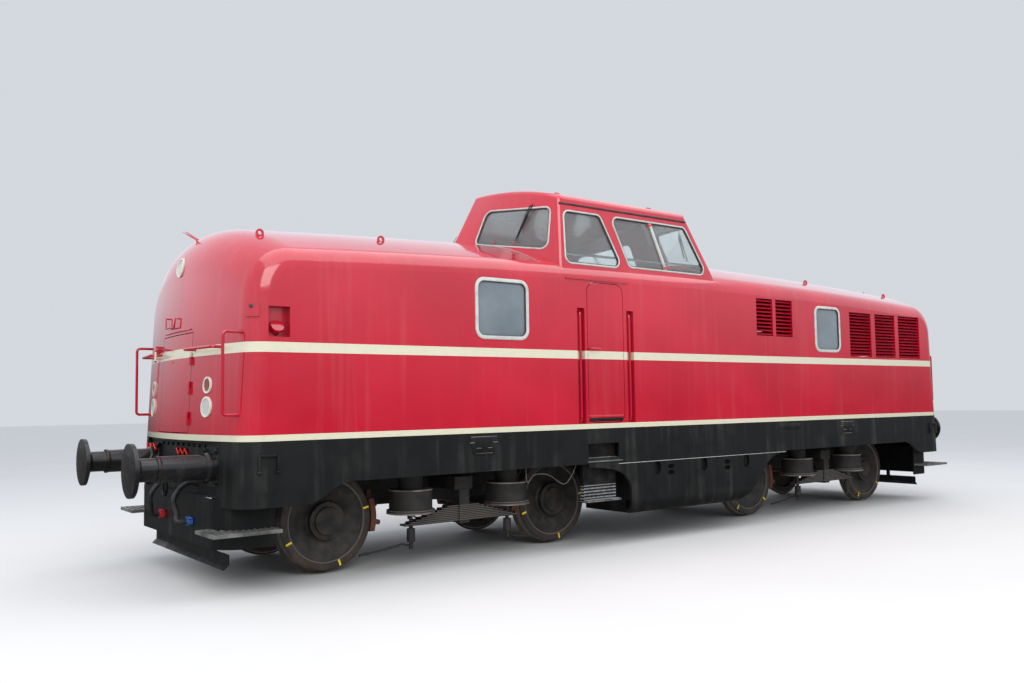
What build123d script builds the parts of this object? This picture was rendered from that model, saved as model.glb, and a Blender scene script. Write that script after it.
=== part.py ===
from build123d import *
from math import cos, hypot, radians, sin, sqrt
import os

os.makedirs("parts", exist_ok=True)

# Four-axle centre-cab diesel locomotive, in millimetres
# X runs along the locomotive, its short hood towards -X. Z is up, and the wheel flanges' tips lie at Z = 0

# Levels, each above the rail head, which the flanges pass by FLANGE_H
FLANGE_H = 28.0
RAIL = FLANGE_H
DECK_Z = RAIL + 1283.0
CROWN_Z = RAIL + 3460.0
VALANCE_LOW_Z = RAIL + 900.0
HEADSTOCK_LOW_Z = RAIL + 800.0
TANK_LOW_Z = RAIL + 300.0
BUFFER_Z = RAIL + 1056.0

# Hoods: a bowed, slightly raked nose at each end
BODY_HALF_W = 1490.0
NOSE_X = 5780.0
NOSE_ARC_R = 6200.0
NOSE_RAKE = 0.048
NOSE_TOP_R = 450.0
CORNER_R = 220.0
CROWN_R = 3000.0
ROOF_ARC_R = 100000.0
ROOF_ARC_HALF = 3.6
WALL = 40.0
SPLIT_NEAR_X = -2450.0
SPLIT_FAR_X = 930.0
SEAT_GAP = 0.3

# Underframe
SILL_Y = 620.0
SILL_W = 90.0
SILL_H = 130.0
HEADSTOCK_X = 5660.0
HEADSTOCK_T = 60.0
HEADSTOCK_HALF_W = 1090.0
SKIRT_T = 30.0
END_SKIRT_BACK_X = 5100.0
VALANCE_END_Z = RAIL + 720.0
ARCH_END_X = 4600.0

# Bogies
PIVOT_X = 3150.0
AXLE_X = 1400.0
WHEEL_R = 475.0
WHEEL_BACK_Y = 680.0
WHEEL_W = 140.0
AXLE_R = 85.0
AXLE_Z = RAIL + WHEEL_R
FRAME_Y = 540.0
FRAME_T = 45.0
FRAME_TOP_Z = RAIL + 830.0
FRAME_LOW_Z = RAIL + 560.0
JOURNAL_GAP = 0.3
AXLEBOX_R = 150.0
BRAKE_GAP = 6.0
SPRING_Y = 1030.0
DRUM_X = 595.0
DRUM_R = 215.0
DRUM_FLANGE_R = 240.0
DRUM_LOW_Z = RAIL + 505.0
DRUM_H = 235.0
DRUM_FLANGE_T = 35.0
LEAF_Z = RAIL + 380.0
LEAF_T = 18.0
LEAF_COUNT = 9
LEAF_HALF = 690.0
LEAF_STEP = 62.0
LEAF_W = 110.0

# Buffers
BUFFER_Y = 875.0
BUFFER_FACE_X = 6400.0
BUFFER_R = 230.0

# Cab: its upper corners are diagonal twins, one upright and one raked at each end
CAB_MID_X = -770.0
CAB_BASE_Z = RAIL + 2980.0
CAB_EAVE_Z = RAIL + 3790.0
CAB_CROWN_Z = RAIL + 4080.0
CAB_EAVE_HALF_W = 1378.0
CAB_BASE_HALF_W = 1457.0


# Underframe, behind and below the deck's edge
DECK_SHEET_T = 20.0
BOLSTER_HALF_L = 170.0
BOLSTER_HALF_W = 1400.0
BOLSTER_LOW_Z = RAIL + 1000.0
SPRING_BEAM_W = 200.0
SPRING_BEAM_HALF = 850.0
SPRING_BEAM_LOW_Z = RAIL + 930.0
PIVOT_R = 120.0
PIVOT_LOW_Z = RAIL + 620.0
PIVOT_PLATE_R = 250.0
CROSS_BEAM_X = 300.0
CROSS_BEAM_W = 100.0
CHEEK_T = 30.0
CHEEK_OUT = 30.0

# Black skirts and the lower front plates
SHELF_T = 12.0
SHELF_BACK_X = 5250.0
APRON_X = 5740.0
APRON_HALF_W = 1250.0
APRON_R = 250.0
APRON_LOW_Z = RAIL + 360.0
APRON_T = 20.0
GUARD_X = 5600.0
GUARD_HALF_W = 1070.0
GUARD_LOW_Z = RAIL + 170.0
GUARD_TOP_Z = RAIL + 300.0
GUARD_T = 12.0
GUARD_LIP = 45.0
GUARD_BRACKET_Y = 620.0
GUARD_BRACKET_T = 40.0
STEP_FRONT_X = 5865.0
STEP_BACK_X = 5265.0
STEP_IN_Y = 1000.0
STEP_OUT_Y = 1460.0
STEP_Z = RAIL + 500.0
STEP_T = 30.0

# Steps under the cab doors
RISER_Y = 1380.0
RISER_T = 8.0
RISER_X = (-1810.0, -1290.0)
LOW_TREAD_X = (-1810.0, -1310.0)
LOW_TREAD_Z = RAIL + 480.0
TREAD_T = 25.0
TREAD_OUT_Y = 1500.0
POCKET_X = (-1780.0, -1320.0)
POCKET_Z = (RAIL + 963.0, RAIL + 1120.0)
POCKET_PLATE_T = 12.0
STRAP_T = 8.0
STRAP_W = 45.0

# Fuel tanks between the bogies, behind a shaped skin
SKIN_T = 40.0
SKIN_ROLL_R = 150.0
SKIN_CORNER_R = 90.0
SKIN_SLOT_X = (-716.0, 91.0, 881.0)
SKIN_SLOT_Z = RAIL + 805.0
SKIN_SLOT_H = 155.0
SKIN_SLOT_W = 115.0
SKIN_OUTLINE = (
    # x, height of the skin's lower edge, from the near end to the far one
    (-1770.0, RAIL + 870.0),
    (-1140.0, RAIL + 600.0),
    (-1130.0, TANK_LOW_Z),
    (600.0, TANK_LOW_Z),
    (1680.0, RAIL + 885.0),
)
TANK_X = (-1100.0, 600.0)
TANK_RISE = 10.0

# Hoods
FILLER_X = (-5410.0, -5215.0)
FILLER_Z = (RAIL + 2180.0, RAIL + 2445.0)
FILLER_DEPTH = 90.0
FILLER_RIM = 30.0
CAP_R = 62.0
CAP_T = 32.0
CAP_EDGE_R = 8.0
CAP_TILT = 35.0
CAP_IN = 50.0
CAP_DROP = 40.0
NECK_R = 42.0
BULKHEAD_T = 30.0
OPENING_LEDGE = 30.0
HOOD_WINDOW_R = 80.0

# Rails and lamps
ROD_R = 14.0
ROD_BEND_R = 32.0
NOSE_RAIL_Y = (520.0, 1060.0)
NOSE_RAIL_Z = RAIL + 2110.0
NOSE_RAIL_OUT = 70.0
CORNER_RAIL_X = 5750.0
CORNER_RAIL_Y = 1330.0
CORNER_RAIL_Z = (RAIL + 1513.0, RAIL + 2224.0)
SLOT_X = (-1851.0, -1107.0)
SLOT_W = 110.0
SLOT_Z = (RAIL + 1337.0, RAIL + 2605.0)
SLOT_DEPTH = 60.0
SLOT_PLATE_T = 8.0
SLOT_ROD_END = 40.0
SLOT_ROD_IN = 17.0
DRIP_X = (-2060.0, -1130.0)
DRIP_Z = (RAIL + 2918.0, RAIL + 2934.0)
DRIP_OUT = 14.0
LAMP_PROUD = 14.0
LENS_PROUD = 8.0
LAMP_RIM = 16.0
LAMP_GAP = 0.3
LAMPS = (
    # y, z, outer radius of the rim, red lens
    (820.0, RAIL + 1780.0, 75.0, True),
    (-820.0, RAIL + 1780.0, 75.0, True),
    (820.0, RAIL + 1585.0, 93.0, False),
    (-820.0, RAIL + 1585.0, 93.0, False),
    (0.0, RAIL + 2940.0, 95.0, False),
)
WIPER_PIVOT = (1009.0, RAIL + 3790.0)
WIPER_END = (885.0, RAIL + 3400.0)
WIPER_OUT = 24.0
WIPER_R = 7.0
WIPER_BEND_R = 8.0
EYE_R = 38.0
EYE_BORE_R = 18.0
EYE_T = 16.0
EYE_X = (-5300.0, -4050.0, 2950.0, 5000.0)
EYE_Y = 1000.0

# Inside the cab and the hoods
PLATFORM_Z = RAIL + 1990.0
PLATFORM_T = 30.0
WELL_X = (-1950.0, -1030.0)
WELL_Y = 760.0
DESK_H = 850.0
DESK_D = 480.0
DESK_W = 1150.0
SEAT_R = 45.0
SEAT_PLATE = 360.0
SEAT_Z = 480.0
SEAT_SIZE = 450.0
SEAT_PAD_T = 90.0
SEAT_BACK_H = 520.0
ENGINE_X = (1500.0, 3300.0)
ENGINE_HALF_W = 420.0
ENGINE_TOP_Z = RAIL + 2500.0
TRANSMISSION_X = 450.0
TRANSMISSION_HALF_W = 400.0
TRANSMISSION_LOW_Z = RAIL + 600.0

# Bogie details
FRAME_END_X = 1570.0
TRANSOM_X = 450.0
TRANSOM_W = 80.0
ARM_HALF_L = 110.0
ARM_HALF_W = 1090.0
ARM_LOW_Z = RAIL + 700.0
END_BEAM_X = 1600.0
END_BEAM_W = 60.0
DRIVE_R = 230.0
DRIVE_HALF_W = 220.0
TORQUE_HALF_W = 60.0
TORQUE_Z = (RAIL + 480.0, RAIL + 600.0)
BUCKLE_HALF_L = 60.0
BUCKLE_LOW_Z = RAIL + 360.0
HANGER_R = 20.0
HANGER_LOW_Z = RAIL + 150.0
NUT_R = 42.0
NUT_Z = (RAIL + 220.0, RAIL + 350.0)
CUP_R = 120.0
CUP_GAP = 6.0
BLOCK_T = 55.0
BLOCK_Y = (745.0, 815.0)
BLOCK_Z = (RAIL + 330.0, RAIL + 650.0)
BRAKE_BEAM_R = 25.0
BRAKE_BEAM_OUT = 556.0
BRAKE_BEAM_Z = RAIL + 415.0
BRAKE_HANGER_W = 50.0
BRAKE_HANGER_T = 30.0
BRAKE_HANGER_TOP_Z = RAIL + 720.0

# Half profile of a wheel on its axle: distance from the middle, radius
WHEEL_PROFILE = (
    (630.0, AXLE_R),
    (630.0, 150.0),
    (700.0, 165.0),
    (728.0, 385.0),
    (WHEEL_BACK_Y, 390.0),
    (WHEEL_BACK_Y, WHEEL_R + 18.0),
    (WHEEL_BACK_Y + 12.0, WHEEL_R + FLANGE_H),
    (WHEEL_BACK_Y + 22.0, WHEEL_R + FLANGE_H),
    (WHEEL_BACK_Y + 36.0, WHEEL_R + 4.0),
    (WHEEL_BACK_Y + 70.0, WHEEL_R),
    (WHEEL_BACK_Y + WHEEL_W - 8.0, WHEEL_R - 5.0),
    (WHEEL_BACK_Y + WHEEL_W, 453.0),
    (WHEEL_BACK_Y + WHEEL_W, 390.0),
    (800.0, 382.0),
    (762.0, 200.0),
    (775.0, 180.0),
    (830.0, 180.0),
    (834.0, 137.0),
    (852.0, 130.0),
    (852.0, 0.0),
)

# Buffer along its axis from the headstock outwards: distance, radius
BUFFER_BASE = 340.0
BUFFER_BASE_T = 25.0
BUFFER_PROFILE = (
    (BUFFER_BASE_T, 130.0),
    (70.0, 128.0),
    (90.0, 112.0),
    (470.0, 112.0),
    (490.0, 118.0),
    (505.0, 118.0),
    (505.0, 100.0),
    (640.0, 100.0),
    (655.0, 120.0),
    (690.0, BUFFER_R),
    (725.0, BUFFER_R),
)
BUFFER_DOME = 15.0
BUFFER_DOME_R = (138.0, 57.5)

# Draw gear
HOOK_T = 60.0
HOOK_OUTLINE = (
    # x outwards from the headstock, z from the buffers' height
    (0.0, -45.0),
    (150.0, -45.0),
    (220.0, -70.0),
    (290.0, -40.0),
    (315.0, 30.0),
    (290.0, 95.0),
    (262.0, 90.0),
    (265.0, 35.0),
    (235.0, 5.0),
    (200.0, 15.0),
    (170.0, 50.0),
    (0.0, 50.0),
)
LINK_R = 16.0
PIN_R = 20.0
PIN_END = 10.0
SHACKLE_X = 175.0
SHACKLE_HALF_W = 60.0
SHACKLE_DROP = 300.0
SHACKLE_BEND_R = 59.0

# Brake hoses of the near end: point on the headstock, bends, point on the apron
HOSES = (
    (
        (-HEADSTOCK_X, -380.0, RAIL + 890.0),
        ((-5800.0, -385.0, RAIL + 850.0), (-5875.0, -430.0, RAIL + 720.0), (-5865.0, -490.0, RAIL + 600.0)),
        (-APRON_X, -520.0, RAIL + 550.0),
    ),
    (
        (-HEADSTOCK_X, 250.0, RAIL + 890.0),
        ((-5810.0, 252.0, RAIL + 850.0), (-5890.0, 270.0, RAIL + 720.0), (-5870.0, 310.0, RAIL + 600.0)),
        (-APRON_X, 320.0, RAIL + 545.0),
    ),
)
HOSE_R = 24.0
GLAND_R = 34.0
GLAND_L = 30.0
COCK_L = 50.0
LEVER_L = 120.0
LEVER_W = 24.0
LEVER_T = 12.0

# Slots of the steps' treads
STEP_RIM = 25.0
STEP_SLOT_W = 30.0
STEP_SLOT_PITCH = 50.0
STEP_SLOT_COUNT = 11
TREAD_SLOT_COUNT = 9

# Door handles
HANDLE_X = -1740.0
HANDLE_Z = RAIL + 2160.0
HANDLE_L = 130.0
HANDLE_OUT = 45.0
HANDLE_IN = 60.0
HANDLE_R = 10.0
HANDLE_BEND_R = 20.0
END_HANDLE_Y = 370.0
END_DOOR_LOW_Z = DECK_Z + 60.0
HINGE_LEVELS = (RAIL + 1480.0, RAIL + 1760.0, RAIL + 2030.0)
SIDE_HINGE_LEVELS = (RAIL + 1560.0, RAIL + 2120.0, RAIL + 2680.0)
HINGE_BITE = 4.0
HINGE_START = 2.0

# More of the cab's inside
DESK_TOE = 120.0
DESK_DROP = 130.0
SEAT_X = -1500.0
SEAT_Y = 480.0


def keep(builder, name):
    """Labels a finished piece and writes it to its own file."""
    builder.part.label = name
    export_step(builder.part, f"parts/{name}.step")


def nose_tip(level, inset=0.0):
    """Distance of the nose's middle from the centre of the locomotive at a level."""
    return NOSE_X - NOSE_RAKE * (level - DECK_Z) - inset


def bow(y, inset=0.0):
    """How far the bowed nose falls back at a distance y from its middle."""
    arc_r = NOSE_ARC_R - inset
    return arc_r - sqrt(arc_r**2 - y**2)


def plan_form(inset, bottom, top):
    """Bowed plan of the body between two levels, its upright corners rounded."""
    half_w = BODY_HALF_W - inset
    with BuildPart() as form:
        for level in (bottom, top):
            tip = nose_tip(level, inset)
            side_x = tip - bow(half_w, inset)
            with BuildSketch(Plane.XY.offset(level)):
                with BuildLine():
                    ThreePointArc((-side_x, half_w), (-tip, 0), (-side_x, -half_w))
                    Line((-side_x, -half_w), (side_x, -half_w))
                    ThreePointArc((side_x, -half_w), (tip, 0), (side_x, half_w))
                    Line((side_x, half_w), (-side_x, half_w))
                make_face()
        loft(ruled=True)
    return form.part


def skirt_form(inset, bottom, top):
    """The bowed plan with its four upright corners rounded, for the black lower body."""
    plan = plan_form(inset, bottom, top)
    with BuildPart() as form:
        add(plan)
        sides = form.faces().filter_by(Axis.Y)
        corners = [e for e in sides.edges() if abs(e.center().Z - (bottom + top) / 2) < 1]
        fillet(corners, CORNER_R - inset)
    return form.part


def hood_form(inset, bottom):
    """Outer form of the hoods from end to end, every face drawn in by inset."""
    half_w = BODY_HALF_W - inset
    crown_r = CROWN_R - inset
    axis_z = CROWN_Z - ROOF_ARC_R
    lean = ROOF_ARC_HALF
    start = Plane(origin=(0, 0, axis_z), x_dir=(0, 1, 0), z_dir=(cos(radians(lean)), 0, sin(radians(lean))))
    crown = ROOF_ARC_R - inset
    edge = crown - crown_r + sqrt(crown_r**2 - half_w**2)
    foot = bottom - WALL - axis_z
    plan = plan_form(inset, bottom, CROWN_Z + WALL)
    with BuildPart() as form:
        with BuildSketch(start):
            with BuildLine():
                ThreePointArc((half_w, edge), (0, crown), (-half_w, edge))
                Polyline((-half_w, edge), (-half_w, foot), (half_w, foot), (half_w, edge))
            make_face()
        revolve(axis=Axis((0, 0, axis_z), (0, 1, 0)), revolution_arc=2 * lean)
        add(plan, mode=Mode.INTERSECT)
        brows = [e for e in form.edges() if abs(e.center().Y) < 1 and e.center().Z > (bottom + CROWN_Z) / 2]
        fillet(brows, NOSE_TOP_R - inset)
        sides = form.faces().filter_by(Axis.Y)
        rim = [e for e in sides.edges() if e.center().Z > bottom + 1]
        fillet(rim, CORNER_R - inset)
    return form.part


outer_form = hood_form(0.0, DECK_Z)
inner_form = hood_form(WALL, DECK_Z - WALL)
clear_form = hood_form(-SEAT_GAP, DECK_Z)

# Cab plan, from the cab's middle: x and y of each post at the cab's base, then at its eaves
# The other three posts are the diagonal twins of these
CAB_POSTS = (
    # post           base x    base y             eave x    eave y
    ("nose post", -2015.0, 0.0, -1570.0, 0.0),
    ("upright post", -1315.0, -CAB_BASE_HALF_W, -1280.0, -CAB_EAVE_HALF_W),
    ("raked post", 1264.0, -CAB_BASE_HALF_W, 786.0, -CAB_EAVE_HALF_W),
)
CAB_ROOF_EDGE_Z = RAIL + 3865.0
CAB_TOP_Z = CAB_CROWN_Z + 100.0
CAB_SEAM_RISE = 150.0
CAB_POST_R = 75.0
EAVE_R = 70.0


def cab_plan(level):
    """The cab's six posts at a level, round the plan."""
    share = (level - CAB_BASE_Z) / (CAB_EAVE_Z - CAB_BASE_Z)
    half = []
    for _, base_x, base_y, eave_x, eave_y in CAB_POSTS:
        half.append((base_x + share * (eave_x - base_x), base_y + share * (eave_y - base_y)))
    twins = [(-x, -y) for x, y in half]
    return [(CAB_MID_X + x, y) for x, y in half + twins]


def cab_form(inset):
    """Outer form of the upper cab with its crowned roof, every face drawn in by inset."""
    crown_z = CAB_CROWN_Z - inset
    rise = CAB_CROWN_Z - CAB_ROOF_EDGE_Z
    crown_r = (CAB_EAVE_HALF_W**2 + rise**2) / (2 * rise) - inset
    edge_z = crown_z - crown_r + sqrt(crown_r**2 - BODY_HALF_W**2)
    with BuildPart() as form:
        for level in (CAB_BASE_Z, CAB_TOP_Z):
            with BuildSketch(Plane.XY.offset(level)):
                with BuildLine():
                    Polyline(*cab_plan(level), close=True)
                make_face()
                if inset:
                    offset(amount=-inset, kind=Kind.INTERSECTION, mode=Mode.REPLACE)
        loft(ruled=True)
        with BuildSketch(Plane.YZ.offset(CAB_MID_X - NOSE_X / 2)):
            with BuildLine():
                ThreePointArc((BODY_HALF_W, edge_z), (0, crown_z), (-BODY_HALF_W, edge_z))
                Line((-BODY_HALF_W, edge_z), (-BODY_HALF_W, CAB_BASE_Z))
                Line((-BODY_HALF_W, CAB_BASE_Z), (BODY_HALF_W, CAB_BASE_Z))
                Line((BODY_HALF_W, CAB_BASE_Z), (BODY_HALF_W, edge_z))
            make_face()
        extrude(amount=NOSE_X, mode=Mode.INTERSECT)
        middle_z = (CAB_BASE_Z + CAB_EAVE_Z) / 2
        posts = [e for e in form.edges() if abs(e.center().Z - middle_z) < 200]
        fillet(posts, CAB_POST_R - inset)
        crown = form.faces().sort_by(Axis.Z)[-1]
        fillet(crown.edges(), EAVE_R - inset)
    return form.part


cab_outer = cab_form(0.0)
cab_inner = cab_form(WALL)

# Windows of the upper cab's left side, seen from that side: low edge, then top edge
SIDE_WINDOWS = (
    # low near x, low far x, low z, top near x, top far x, top z
    (-2010.0, -1165.0, RAIL + 3105.0, -1985.0, -1455.0, RAIL + 3690.0),
    (-1045.0, 285.0, RAIL + 3125.0, -1285.0, -50.0, RAIL + 3695.0),
)
# Window in each half of a cab end, from the outer post inwards: y, low z, top z
END_WINDOW = (
    # y, low z, top z
    (1275.0, RAIL + 3265.0, RAIL + 3735.0),
    (320.0, RAIL + 3425.0, RAIL + 3830.0),
)
WINDOW_R = 75.0
PANE_INSET = 14.0
PANE_T = 8.0
PANE_GAP = 0.3
SLIDER_BAR = (-440.0, -650.0, 14.0)
SIDE_CUT_DEPTH = 300.0
SIDE_CUT_IN_Y = BODY_HALF_W - 240.0
SIDE_CUT = Plane.XZ.offset(SIDE_CUT_IN_Y)
TWIN_CUT = Plane.XZ.offset(-SIDE_CUT_IN_Y - SIDE_CUT_DEPTH)
END_CUT_FAR = 2400.0
END_CUT_DEPTH = 1850.0

# Hood windows, one to each hood side: near x, far x, low z, top z
HOOD_WINDOWS = (
    (-3225.0, -2605.0, RAIL + 2255.0, RAIL + 2825.0),
    (2455.0, 2995.0, RAIL + 2245.0, RAIL + 2825.0),
)

# Side door to the cab, in each side wall
DOOR_NEAR_X = -1762.0
DOOR_FAR_X = -1212.0
DOOR_LOW_Z = DECK_Z + 60.0
DOOR_TOP_Z = RAIL + 2900.0
DOOR_R = 110.0
DOOR_GAP = 8.0

# End door in each nose, hinged along its left seam as seen from outside
END_DOOR_HALF_W = 450.0
END_DOOR_TOP_Z = RAIL + 2280.0

# Hinges
KNUCKLE_R = 12.0
KNUCKLE_H = 60.0
HINGE_OUT = 14.0
HINGE_LEAF = 32.0

# Louvre panels in the far hood: near x, far x, low z, top z, slats
LOUVRES = (
    (1160.0, 1520.0, RAIL + 2390.0, RAIL + 2900.0, 10),
    (1560.0, 1940.0, RAIL + 2390.0, RAIL + 2900.0, 10),
    (3250.0, 3820.0, RAIL + 2155.0, RAIL + 2815.0, 14),
    (3900.0, 4460.0, RAIL + 2155.0, RAIL + 2815.0, 14),
    (4530.0, 5150.0, RAIL + 2155.0, RAIL + 2815.0, 14),
)
SLAT_T = 6.0
SLAT_TILT = 42.0
SLAT_DEPTH = 30.0
LOUVRE_RIM = 12.0


def window_cut(plane, corners, gap, depth):
    """Prism through a wall for a window with these corners, drawn in by a gap."""
    with BuildPart() as prism:
        with BuildSketch(plane):
            with BuildLine():
                Polyline(*corners, close=True)
            make_face()
            fillet(vertices(), WINDOW_R)
            if gap:
                offset(amount=-gap, mode=Mode.REPLACE)
        extrude(amount=depth)
    return prism.part


def slider_bars(gap):
    """Upright bars between the two panes of the long side windows, let out by a gap."""
    low_x, top_x, half_w = SLIDER_BAR
    low, top = SIDE_WINDOWS[1][2], SIDE_WINDOWS[1][5]
    reach = half_w + gap
    lower = [(low_x - reach, low - WALL), (low_x + reach, low - WALL)]
    upper = [(top_x + reach, top + WALL), (top_x - reach, top + WALL)]
    twins = [(2 * CAB_MID_X - x, z) for x, z in lower + upper]
    with BuildPart() as bars:
        for plane, outline in ((SIDE_CUT, lower + upper), (TWIN_CUT, twins)):
            with BuildSketch(plane):
                with BuildLine():
                    Polyline(*outline, close=True)
                make_face()
            extrude(amount=SIDE_CUT_DEPTH)
    return bars.part


def cab_windows(gap):
    """Prisms through the upper cab's walls for all its windows, drawn in by a gap."""
    outer_y, outer_low, outer_top = END_WINDOW[0]
    inner_y, inner_low, inner_top = END_WINDOW[1]
    near_cut = Plane.YZ.offset(CAB_MID_X - END_CUT_FAR)
    far_cut = Plane.YZ.offset(CAB_MID_X + END_CUT_FAR - END_CUT_DEPTH)
    prisms = []
    for near, far, low, top_near, top_far, top in SIDE_WINDOWS:
        corners = [(near, low), (far, low), (top_far, top), (top_near, top)]
        twins = [(2 * CAB_MID_X - x, z) for x, z in corners]
        prisms.append(window_cut(SIDE_CUT, corners, gap, SIDE_CUT_DEPTH))
        prisms.append(window_cut(TWIN_CUT, twins, gap, SIDE_CUT_DEPTH))
    for side in (-1, 1):
        outline = [(side * outer_y, outer_low), (side * inner_y, inner_low)]
        outline += [(side * inner_y, inner_top), (side * outer_y, outer_top)]
        prisms.append(window_cut(near_cut, outline, gap, END_CUT_DEPTH))
        prisms.append(window_cut(far_cut, outline, gap, END_CUT_DEPTH))
    return prisms


def seam_form(lift):
    """Everything below the seam between the cab's walls and its roof, lifted by lift."""
    low, high = CAB_EAVE_Z + lift, CAB_EAVE_Z + CAB_SEAM_RISE + lift
    with BuildPart() as form:
        with BuildSketch(Plane.YZ.offset(CAB_MID_X - NOSE_X / 2)):
            with BuildLine():
                ThreePointArc((BODY_HALF_W, low), (0, high), (-BODY_HALF_W, low))
                Polyline(
                    (-BODY_HALF_W, low), (-BODY_HALF_W, DECK_Z),
                    (BODY_HALF_W, DECK_Z), (BODY_HALF_W, low))
            make_face()
        extrude(amount=NOSE_X)
    return form.part


def block(low, high):
    """A plain box from its lowest to its highest corner."""
    size = [high[i] - low[i] for i in range(3)]
    centre = tuple((high[i] + low[i]) / 2 for i in range(3))
    with BuildPart() as box:
        with Locations(centre):
            Box(*size)
    return box.part


# Upper cab: walls below the roof seam, standing on the hood's crown
below_seam = seam_form(0.0)
cab_cuts = cab_windows(0.0)
with BuildPart() as cab_walls:
    add(cab_outer)
    add(cab_inner, mode=Mode.SUBTRACT)
    add(below_seam, mode=Mode.INTERSECT)
    add(clear_form, mode=Mode.SUBTRACT)
    add(cab_cuts, mode=Mode.SUBTRACT)
keep(cab_walls, "cab_walls")

roof_seam = seam_form(SEAT_GAP)
with BuildPart() as cab_roof:
    add(cab_outer)
    add(cab_inner, mode=Mode.SUBTRACT)
    add(roof_seam, mode=Mode.SUBTRACT)
keep(cab_roof, "cab_roof")

pane_outer = cab_form(PANE_INSET)
pane_inner = cab_form(PANE_INSET + PANE_T)
pane_cuts = Compound(cab_windows(PANE_GAP))
bar_cuts = slider_bars(PANE_GAP)
with BuildPart() as cab_glass:
    add(pane_outer)
    add(pane_inner, mode=Mode.SUBTRACT)
    add(pane_cuts, mode=Mode.INTERSECT)
    add(bar_cuts, mode=Mode.SUBTRACT)
keep(cab_glass, "cab_glass")


def door_prism(gap):
    """Prism through both side walls for the cab's doors, drawn in by a gap."""
    low, high = DOOR_LOW_Z + gap, DOOR_TOP_Z - gap
    with BuildPart() as prism:
        with BuildSketch(Plane.XZ.offset(-BODY_HALF_W - WALL)) as outline:
            with Locations(((DOOR_NEAR_X + DOOR_FAR_X) / 2, (low + high) / 2)):
                Rectangle(DOOR_FAR_X - DOOR_NEAR_X - 2 * gap, high - low)
            fillet(outline.vertices().group_by(Axis.Z)[-1], DOOR_R - gap)
        extrude(amount=2 * (BODY_HALF_W + WALL))
    return prism.part


def end_door_prism(gap):
    """Prism through the near nose for its door, drawn in by a gap."""
    low = (-NOSE_X - WALL, -END_DOOR_HALF_W + gap, END_DOOR_LOW_Z + gap)
    high = (-NOSE_X / 2, END_DOOR_HALF_W - gap, END_DOOR_TOP_Z - gap)
    return block(low, high)


def knuckles(x, y, levels, slope, x_span, y_span, lower):
    """Hinge knuckles along a pin through x, y that leans by slope, each with a leaf over the given spans."""
    lift = -KNUCKLE_H / 2 if lower else KNUCKLE_H / 2 + SEAT_GAP
    with BuildPart() as hinge:
        for level in levels:
            foot = (x + slope * (level - DECK_Z), y, level)
            with Locations(Plane(origin=foot, x_dir=(1, 0, -slope), z_dir=(slope, 0, 1))):
                with Locations((0, 0, lift)):
                    Cylinder(KNUCKLE_R, KNUCKLE_H)
                with Locations((sum(x_span) / 2, sum(y_span) / 2, lift)):
                    Box(x_span[1] - x_span[0], y_span[1] - y_span[0], KNUCKLE_H)
    return hinge.part


def mirrored(piece):
    """A piece and its mirror image on the other side of the locomotive."""
    return [piece, piece.mirror(Plane.XZ)]


def turned(piece):
    """A piece of the near end, and the same piece turned round to the far end."""
    return [piece, piece.rotate(Axis.Z, 180)]


def twinned(piece):
    """A piece of the cab, and its diagonal twin about the cab's middle."""
    return [piece, piece.moved(Location((-2 * CAB_MID_X, 0, 0))).rotate(Axis.Z, 180)]


def bent_rod(route, bend_r, rod_r):
    """A round rod along straight stretches with rounded bends."""
    start = Vector(*route[0])
    heading = Vector(*route[1]) - start
    with BuildPart() as rod:
        with BuildLine() as line:
            FilletPolyline(*route, radius=bend_r)
        with BuildSketch(Plane(origin=start, z_dir=heading)):
            Circle(rod_r)
        sweep(path=line.wires()[0])
    return rod.part


with BuildPart() as shell:
    add(outer_form)
    add(inner_form, mode=Mode.SUBTRACT)

door_cut = door_prism(0.0)
end_door_cut = end_door_prism(0.0)

# Hinges: the body's knuckles carry the leaf's, on pins just outside the nose and just inside the side walls
END_PIN_X = -(NOSE_X - bow(END_DOOR_HALF_W)) - HINGE_OUT
END_PIN_Y = -END_DOOR_HALF_W
SIDE_PIN_X = DOOR_FAR_X
SIDE_PIN_Y = -(BODY_HALF_W - WALL - HINGE_OUT)
reach = HINGE_OUT + HINGE_BITE
body_side, leaf_side = (-HINGE_LEAF, -HINGE_START), (HINGE_START, HINGE_LEAF)
end_body_knuckles = knuckles(END_PIN_X, END_PIN_Y, HINGE_LEVELS, NOSE_RAKE, (0.0, reach), body_side, True)
end_leaf_knuckles = knuckles(END_PIN_X, END_PIN_Y, HINGE_LEVELS, NOSE_RAKE, (0.0, reach), leaf_side, False)
side_body_knuckles = knuckles(SIDE_PIN_X, SIDE_PIN_Y, SIDE_HINGE_LEVELS, 0.0, leaf_side, (-reach, 0.0), True)
side_leaf_knuckles = knuckles(SIDE_PIN_X, SIDE_PIN_Y, SIDE_HINGE_LEVELS, 0.0, body_side, (-reach, 0.0), False)

filler_box = block(
    (FILLER_X[0] - FILLER_RIM, -BODY_HALF_W + WALL / 2, FILLER_Z[0] - FILLER_RIM),
    (FILLER_X[1] + FILLER_RIM, -BODY_HALF_W + FILLER_DEPTH + FILLER_RIM, FILLER_Z[1] + FILLER_RIM),
)
filler_cut = block(
    (FILLER_X[0], -BODY_HALF_W - WALL, FILLER_Z[0]),
    (FILLER_X[1], -BODY_HALF_W + FILLER_DEPTH, FILLER_Z[1]),
)

with BuildPart() as hood_window_cut:
    with BuildSketch(Plane.XZ.offset(-BODY_HALF_W - WALL)):
        for near, far, low, high in HOOD_WINDOWS:
            with Locations(((near + far) / 2, (low + high) / 2)):
                RectangleRounded(far - near, high - low, HOOD_WINDOW_R)
    extrude(amount=2 * (BODY_HALF_W + WALL))

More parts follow.
